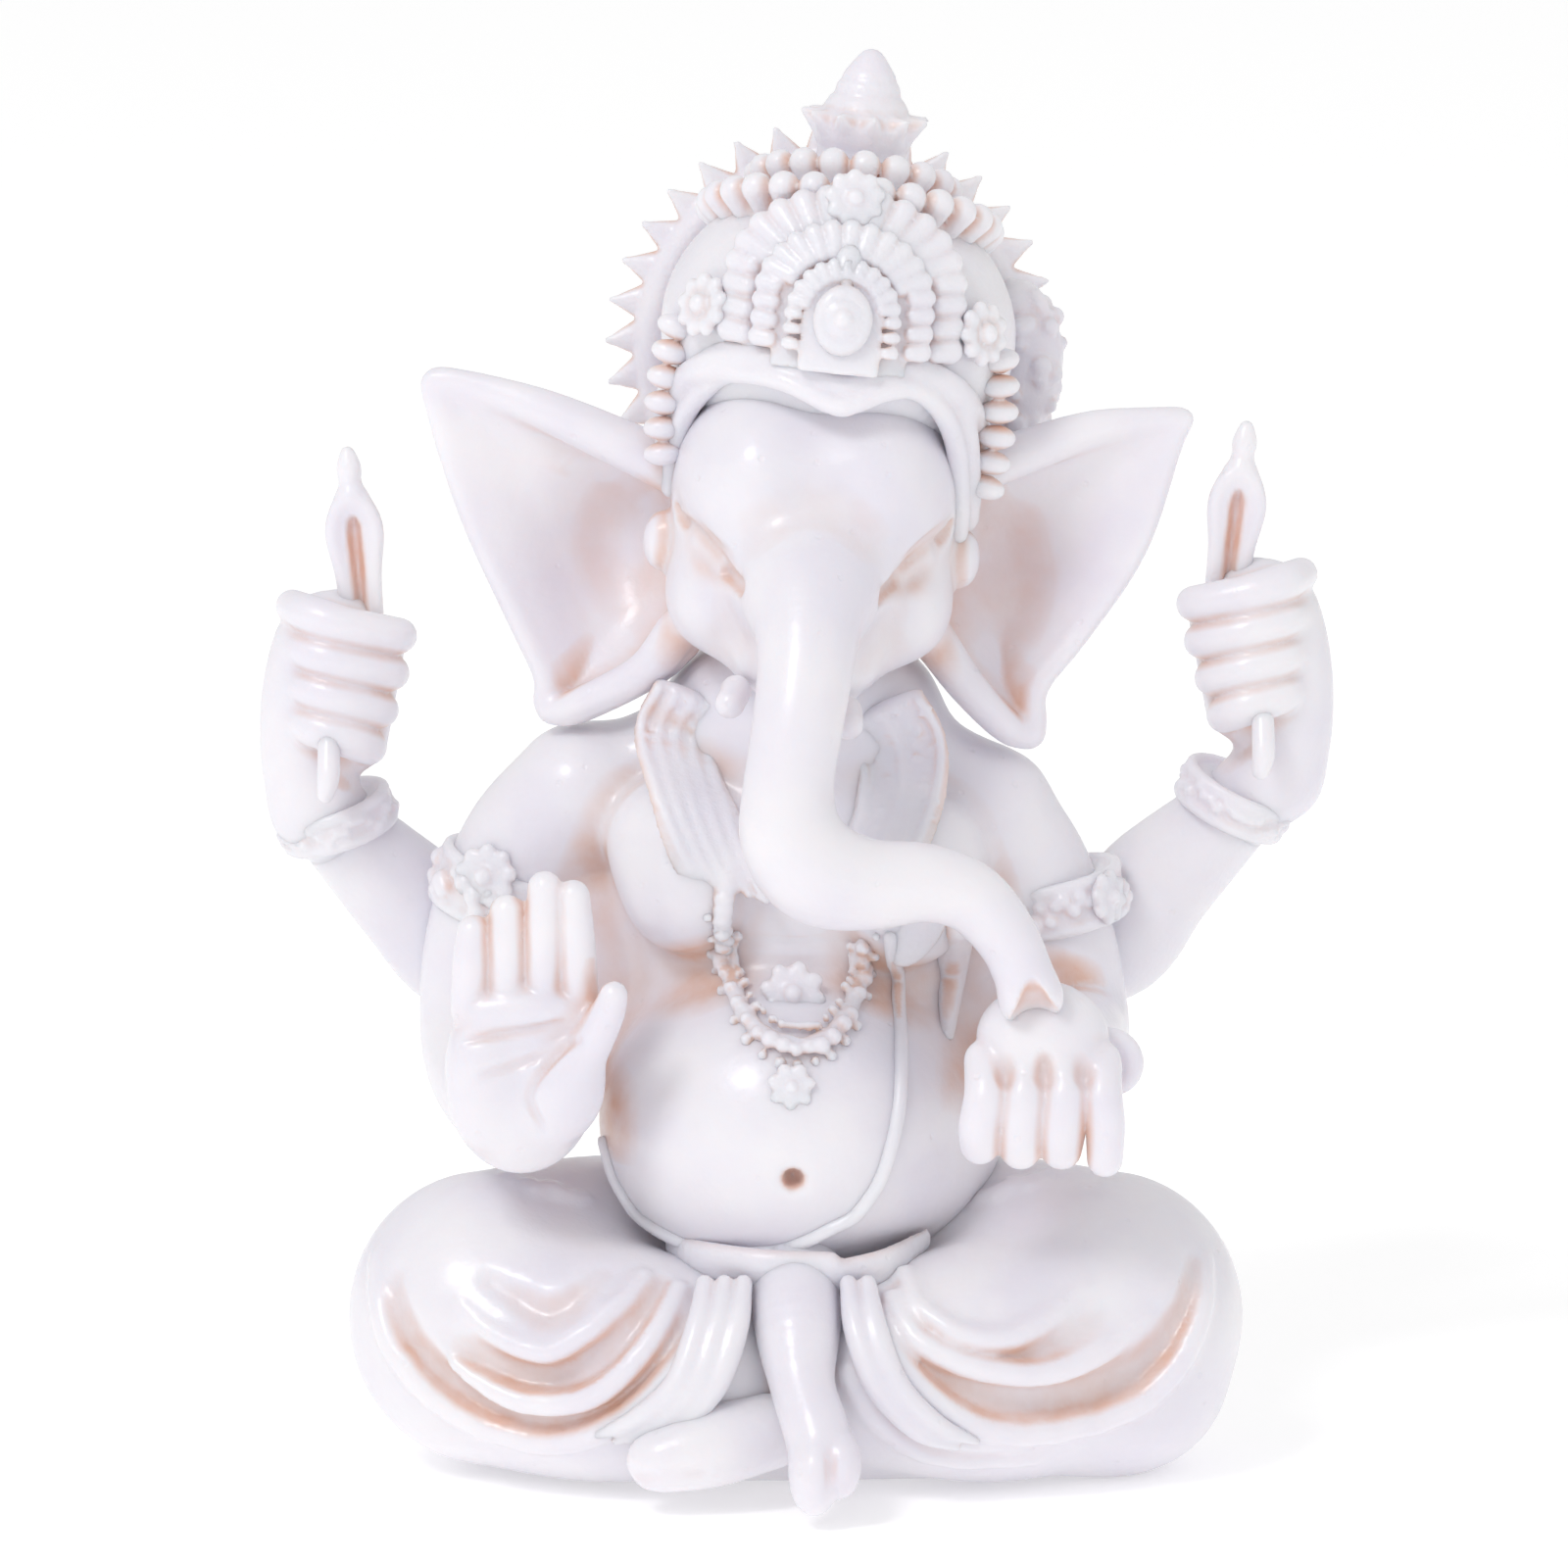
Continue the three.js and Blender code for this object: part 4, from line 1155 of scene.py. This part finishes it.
FINIAL_AT = np.array((0, 1.2, 0))


def sculpt_finial():
    """A small lotus spire: a neck, a skirt of pointed leaves and a banded cone with a round tip."""
    clay = crown_clay((-7, -6, 86), (7, 9, 98))

    def disc(z, radius, half, edge=0.35):
        return on_crown(drum(FINIAL_AT + (0, 0, z), (0, 0, 1), radius, half, edge))

    clay.add(disc(89.2, 3, 1.6), disc(90.8, 3.2, 0.6), soft=0.6)
    for z, radius in ((91.7, 3.3), (92.4, 2.9), (93, 2.6)):
        clay.add(disc(z, radius, 0.5), soft=0.35)
    cone = [(0, 1.2, 93.4, 2.3), (0, 1.2, 94.4, 1.75), (0, 1.2, 95.5, 1.1), (0, 1.2, 95.9, 0.75)]
    clay.add(on_crown(tube(cone)), soft=0.3)
    for z, radius in ((93.5, 2.5), (94.6, 2)):
        clay.cut(on_crown(ring(FINIAL_AT + (0, 0, z), (0, 0, 1), radius, 0.16)), soft=0.25)
    for c, s in spokes(11, 0.5):
        out = np.array((c, s, 0))
        root = FINIAL_AT + out * 2.5 + (0, 0, 91.3)
        tip = FINIAL_AT + out * 4.35 + (0, 0, 92.2)
        clay.add(on_crown(bone((*root, 1.25), (*tip, 0.16))), soft=0.3)
    return clay


HALO_AT = np.array((-0.5, 10.4, 75.4))


def sculpt_halo():
    """A round plate behind the crown, with a raised rim and hooked teeth."""
    clay = crown_clay((-17, 6.5, 59), (17, 13, 92.5))
    axis = (0, 1, 0)
    clay.add(on_crown(drum(HALO_AT, axis, 13.4, 0.9, 0.5)))
    clay.add(on_crown(ring(HALO_AT + (0, -0.5, 0), axis, 12.4, 0.95)), soft=0.6)
    for radius, wire in ((12.2, 0.5), (9.8, 0.35), (2.6, 0.8)):
        clay.add(on_crown(ring(HALO_AT + (0, 0.8, 0), axis, radius, wire)), soft=0.4)
    for c, s in spokes(16):
        root, tip = (HALO_AT + reach * np.array((c, 0, s)) + (0, 0.8, 0) for reach in (3.4, 9.2))
        clay.add(on_crown(petal(root, tip, 2, 1, axis)), soft=0.3)
    for c, s in spokes(34, 0.3):
        out = np.array((c, 0, s))
        along = np.array((-s, 0, c))
        lean = 0.35 if out[0] < 0 else -0.35
        for shift in (-0.55, 0, 0.55):
            root = HALO_AT + out * 13 + along * shift
            tip = HALO_AT + out * 15.4 + along * lean - (0, 0.4, 0)
            clay.add(on_crown(bone((*root, 0.85), (*tip, 0.16))), soft=0.2)
    return clay


def sculpt_bunch():
    """A bunch of small flowers behind the left temple."""
    clay = crown_clay((7, 1, 65), (17, 13, 83))
    random = np.random.default_rng(11)
    stem = np.array([(12, 7.2, 80, 1.6), (13, 7.2, 76.6, 2.3), (12.4, 6.8, 72.4, 2.1),
        (11.6, 6.2, 69, 1.1)])
    clay.add(on_crown(tube(stem)))
    line = smooth_path(stem, 40)
    for _ in range(90):
        x, y, z, r = line[random.integers(len(line))]
        out = unit((*random.normal(0, 1, 2), random.normal(0, 0.4)))
        clay.add(on_crown(egg(np.array((x, y, z)) + out * r, random.uniform(0.45, 0.8))), soft=0.2)
    return clay


# --- finish


WHITE = (0.85, 0.83, 0.865, 1.0)
COOL = (0.79, 0.765, 0.835, 1.0)
# painted shade: the darker warm colour that is put into creases and hollows
CREASE_SHADE_COLOUR = (0.75, 0.5, 0.4, 1.0)


def resin(name, grain, gloss):
    """White resin: cool in the open, with shade painted darker and warm into its creases and hollows, faint
    clouding, grain and pinholes.
    """
    material = bpy.data.materials.new(name)
    material.use_nodes = True
    nodes, links = material.node_tree.nodes, material.node_tree.links
    shader = nodes["Principled BSDF"]
    shader.inputs["Subsurface Weight"].default_value = 0.5
    shader.inputs["Subsurface Radius"].default_value = (1.0, 0.8, 0.74)
    shader.inputs["Subsurface Scale"].default_value = 1.8 * UNIT
    shader.inputs["IOR"].default_value = 1.5
    shader.inputs["Coat Weight"].default_value = 0.35
    shader.inputs["Coat Roughness"].default_value = 0.18

    def node(kind, **values):
        made = nodes.new(kind)
        for key, value in values.items():
            setattr(made, key, value)
        return made

    place = node("ShaderNodeTexCoord")

    def noise(size, detail):
        made = node("ShaderNodeTexNoise")
        made.inputs["Scale"].default_value = 1 / (size * UNIT)
        made.inputs["Detail"].default_value = detail
        links.new(place.outputs["Object"], made.inputs["Vector"])
        return made.outputs["Fac"]

    def spread(value, low, high, to_low=0.0, to_high=1.0):
        made = node("ShaderNodeMapRange")
        for key, number in zip(("From Min", "From Max", "To Min", "To Max"), (low, high, to_low, to_high)):
            made.inputs[key].default_value = number
        links.new(value, made.inputs["Value"])
        return made.outputs["Result"]

    def mixed(factor, first, second):
        made = node("ShaderNodeMix", data_type="RGBA")
        links.new(factor, made.inputs["Factor"])
        for socket, value in ((made.inputs[6], first), (made.inputs[7], second)):
            if isinstance(value, tuple):
                socket.default_value = value
            else:
                links.new(value, socket)
        return made.outputs[2]

    def product(first, second):
        made = node("ShaderNodeMath", operation="MULTIPLY")
        links.new(first, made.inputs[0])
        links.new(second, made.inputs[1])
        return made.outputs[0]

    crease = node("ShaderNodeAttribute", attribute_name="crease").outputs["Fac"]
    clouds = noise(9, 3)
    fine = noise(0.5, 4)
    coarse = noise(2.2, 3)
    cells = node("ShaderNodeTexVoronoi", feature="F1")
    cells.inputs["Scale"].default_value = 1 / (2.6 * UNIT)
    links.new(place.outputs["Object"], cells.inputs["Vector"])
    pits = spread(cells.outputs["Distance"], 0.05, 0.1)

    cast = mixed(spread(clouds, 0.35, 0.65), WHITE, COOL)
    # painted shade: the colour turns darker and warm where the crease mask finds a crease or hollow, varied a
    # little by noise
    painted_crease_shade = product(spread(crease, 0.12, 0.9, 0, 0.85), spread(coarse, 0.3, 0.7, 0.6, 1.2))
    links.new(mixed(painted_crease_shade, cast, CREASE_SHADE_COLOUR), shader.inputs["Base Color"])
    links.new(spread(fine, 0.3, 0.7, gloss - 0.06, gloss + 0.08), shader.inputs["Roughness"])

    def bumped(height, distance, strength, before=None):
        made = node("ShaderNodeBump")
        made.inputs["Distance"].default_value = distance * UNIT
        made.inputs["Strength"].default_value = strength
        links.new(height, made.inputs["Height"])
        if before:
            links.new(before, made.inputs["Normal"])
        return made.outputs["Normal"]

    skin = bumped(coarse, 0.25, 0.25)
    skin = bumped(fine, 0.12 * grain, 0.6, skin)
    skin = bumped(pits, 0.15, 0.35, skin)
    links.new(skin, shader.inputs["Normal"])
    return material


BODY = resin("resin_body", 0.5, 0.36)
CLOTH = resin("resin_cloth", 1.0, 0.42)
ORNAMENT = resin("resin_ornament", 1.2, 0.38)


# --- the figure


def make(name, clay, nodes, slot="smooth_body"):
    material = {"smooth_body": BODY, "textured_cloth": CLOTH, "crown_ornament": ORNAMENT}[slot]
    return finish_piece(mesh_of(clay, name), nodes, material)


def make_lower_body():
    make("lower_body", sculpt_lower_body(), ["seat", "dhoti_leg_right", "dhoti_leg_left"])
    for side, name in SIDES:
        make(f"pleats_{name}", sculpt_pleats(side), [f"dhoti_pleats_{name}"])
    make("front_foot", sculpt_front_foot(), ["foot_front"])
    make("side_foot", sculpt_side_foot(), ["foot_side"])
    make("waist_band", sculpt_sash(), ["waist_sash"], "textured_cloth")


def make_torso():
    torso = sculpt_torso()
    arms = [f"front_{name}_{part}" for _, name in SIDES for part in ("upper_arm", "forearm")]
    make("torso_and_arms", torso, ["torso", *arms])
    make("thread", sculpt_thread(torso), ["sacred_thread"])
    for side, name in SIDES:
        make(f"shoulder_cloth_{name}", sculpt_stole(torso, side, name), [f"stole_{name}"], "textured_cloth")
    make("garland_cord", sculpt_garland(torso), ["garland"], "textured_cloth")
    low_flower = np.array((-0.3, torso.front(-0.3, 28.4) - 0.3, 28.4))
    make("garland_flower", sculpt_flower(low_flower, (0, -1, 0.15), 1.7, 7), ["garland_pendant"],
        "textured_cloth")
    high_flower = np.array((-0.2, torso.front(-0.2, 33.6) - 0.4, 33.6))
    make("chest_flower", sculpt_flower(high_flower, (0, -1, 0.3), 2.3, 8), ["necklace_pendant"],
        "textured_cloth")
    return torso


def make_hands():
    make("raised_hand", sculpt_raised_hand(), ["front_right_hand"])
    make("drooping_hand", sculpt_drooping_hand(), ["front_left_hand"])
    right = sculpt_cuff((-19.8, 2.9, 38.8), (-0.33, 0.1, -1), 4.6, 1.7, 60, 0.85, 3)
    left = sculpt_cuff((18, 2.7, 38.2), (0.22, 0.05, -1), 4.2, 1.5, 50, 0.7, 4)
    make("armlet_right", right, ["front_right_armlet"], "textured_cloth")
    make("armlet_left", left, ["front_left_armlet"], "textured_cloth")
    make("armlet_flower_right", sculpt_flower((-21, -1.6, 40.4), (-0.35, -1, 0.15), 2.3, 9),
        ["front_right_armlet"], "textured_cloth")
    make("armlet_flower_left", sculpt_flower((21.2, -0.6, 38.8), (0.9, -0.6, 0.1), 2, 8),
        ["front_left_armlet"], "textured_cloth")
    make("wrist_ring", sculpt_wrist_ring(), ["front_left_bracelet"])


def sculpt_wrist_ring():
    clay = Clay((17, -17, 25), (25, -8, 34), FINE_STEP)
    clay.add(ring((21, -12.6, 29.7), (0.35, 1, 0.1), 1.5, 0.85))
    return clay


def make_rear_arms():
    for side, name in SIDES:
        arm = REAR[name]
        prefix = f"rear_{name}"
        make(f"{prefix}_arm", sculpt_rear_arm(arm), [f"{prefix}_upper_arm", f"{prefix}_forearm"])
        cuff = sculpt_cuff(arm["cuff"], arm["cuff_axis"], 3.6, 1, 40, 0.5, 30 + side)
        make(f"{prefix}_cuff", cuff, [f"{prefix}_bracelet"], "textured_cloth")
        make(f"{prefix}_fist", sculpt_fist(arm, side), [f"{prefix}_hand"])
        make(f"{prefix}_loop", sculpt_noose(arm, side), [f"{prefix}_noose"])
        make(f"{prefix}_loop_end", sculpt_stub(arm), [f"{prefix}_noose_handle"])


def make_head():
    make("head_and_trunk", sculpt_head(), ["head", "trunk", "ear_left", "ear_right"])
    for _, name in SIDES:
        make(f"tusk_stub_{name}", sculpt_tusk(name), [f"tusk_{name}"])


def make_crown():
    def ornament(name, clay, *nodes):
        make(name, clay, nodes, "crown_ornament")

    ornament("cap", sculpt_dome(), "crown_dome")
    ornament("brow_band", sculpt_band(), "crown_band")
    ornament("petals_outer", sculpt_fan(7.2, 10.2, 19, 0.2, 1.85, 2), "crown_fan_outer")
    ornament("petals_middle", sculpt_fan(5, 8, 19, 1, 1.4, 1.5), "crown_fan_middle")
    ornament("petals_inner", sculpt_fan(3, 5.7, 17, 1.7, 0.95, 0.8), "crown_fan_inner")
    ornament("plaque", sculpt_jewel(), "crown_jewel")
    ornament("row_lower", sculpt_row(9.2, 84.4, 27, 1.7, 2.15), "crown_tier_lower")
    ornament("row_upper", sculpt_row(6.2, 86.8, 19, 1.6, 2.05, 0.5), "crown_tier_upper")
    ornament("top_flower", sculpt_top_flower(), "crown_tier_upper")
    ornament("spire", sculpt_finial(), "crown_finial")
    ornament("toothed_plate", sculpt_halo(), "halo")
    ornament("flower_bunch", sculpt_bunch(), "crown_bun")
    for side, name in SIDES:
        ornament(f"rosette_{name}", sculpt_rosette(side), f"crown_rosette_{name}")
        ornament(f"hanging_beads_{name}", sculpt_temple_beads(side), f"temple_beads_{name}")


make_lower_body()
make_torso()
make_hands()
make_rear_arms()
make_head()
make_crown()


# --- floor, light and camera


WORLD_LIGHT = 0.74
FLOOR_GLOW = 0.26
FLOOR_REACH = 40  # half the floor's width, in heights of the figure


def world_light():
    """Soft white light from all round, in front of a backdrop that the camera sees as plain white."""
    world = bpy.data.worlds.new("studio")
    world.use_nodes = True
    nodes, links = world.node_tree.nodes, world.node_tree.links
    backdrop = nodes.new("ShaderNodeBackground")
    for background, strength in ((nodes["Background"], WORLD_LIGHT), (backdrop, 1.0)):
        background.inputs["Color"].default_value = (1, 1, 1, 1)
        background.inputs["Strength"].default_value = strength
    either = nodes.new("ShaderNodeMixShader")
    links.new(nodes.new("ShaderNodeLightPath").outputs["Is Camera Ray"], either.inputs["Fac"])
    links.new(nodes["Background"].outputs["Background"], either.inputs[1])
    links.new(backdrop.outputs["Background"], either.inputs[2])
    links.new(either.outputs["Shader"], nodes["World Output"].inputs["Surface"])
    bpy.context.scene.world = world


def lay_floor():
    """A wide sheet of pale paper, which glows a little so that it meets the backdrop without a line."""
    mesh = bpy.data.meshes.new("floor")
    half = FLOOR_REACH * HEIGHT * UNIT
    corners = [(-half, -half), (half, -half), (half, half), (-half, half)]
    mesh.from_pydata([(x, y, LOW[2]) for x, y in corners], [], [(0, 1, 2, 3)])
    floor = bpy.data.objects.new("floor", mesh)
    bpy.context.scene.collection.objects.link(floor)
    material = bpy.data.materials.new("floor_paper")
    material.use_nodes = True
    shader = material.node_tree.nodes["Principled BSDF"]
    shader.inputs["Base Color"].default_value = (0.96, 0.96, 0.96, 1)
    shader.inputs["Roughness"].default_value = 0.9
    shader.inputs["Emission Color"].default_value = (1, 1, 1, 1)
    shader.inputs["Emission Strength"].default_value = FLOOR_GLOW
    mesh.materials.append(material)


def softbox(name, azimuth, elevation, distance, size, watts):
    """An area light that faces the figure. Azimuth 0 is in front and 90 to the viewer's right."""
    light = bpy.data.lights.new(name, "AREA")
    light.shape = "DISK"
    light.size = size
    light.energy = watts
    lamp = bpy.data.objects.new(name, light)
    bpy.context.scene.collection.objects.link(lamp)
    a, e = math.radians(azimuth), math.radians(elevation)
    out = Vector((math.sin(a) * math.cos(e), -math.cos(a) * math.cos(e), math.sin(e)))
    lamp.location = Vector(AIM) + distance * out
    lamp.rotation_euler = out.to_track_quat("Z", "Y").to_euler()


AIM = np.array((-0.8, 0, 46.5)) * UNIT
CAMERA_ELEVATION = math.radians(9)  # the angle at which the camera looks down
CAMERA_DISTANCE = 600 * UNIT
CAMERA_SENSOR = 36
CAMERA_LENS = 202.5


def place_camera():
    """A long lens on the front of the figure."""
    camera = bpy.data.cameras.new("camera")
    camera.sensor_width = CAMERA_SENSOR
    camera.lens = CAMERA_LENS
    holder = bpy.data.objects.new("camera", camera)
    bpy.context.scene.collection.objects.link(holder)
    out = Vector((0, -math.cos(CAMERA_ELEVATION), math.sin(CAMERA_ELEVATION)))
    holder.location = Vector(AIM) + CAMERA_DISTANCE * out
    holder.rotation_euler = out.to_track_quat("Z", "Y").to_euler()
    bpy.context.scene.camera = holder


world_light()
lay_floor()
softbox("key", azimuth=-35, elevation=45, distance=1.1, size=0.3, watts=3)
softbox("side", azimuth=60, elevation=25, distance=1.3, size=0.5, watts=0.2)
place_camera()
bpy.context.scene.view_settings.view_transform = "Standard"
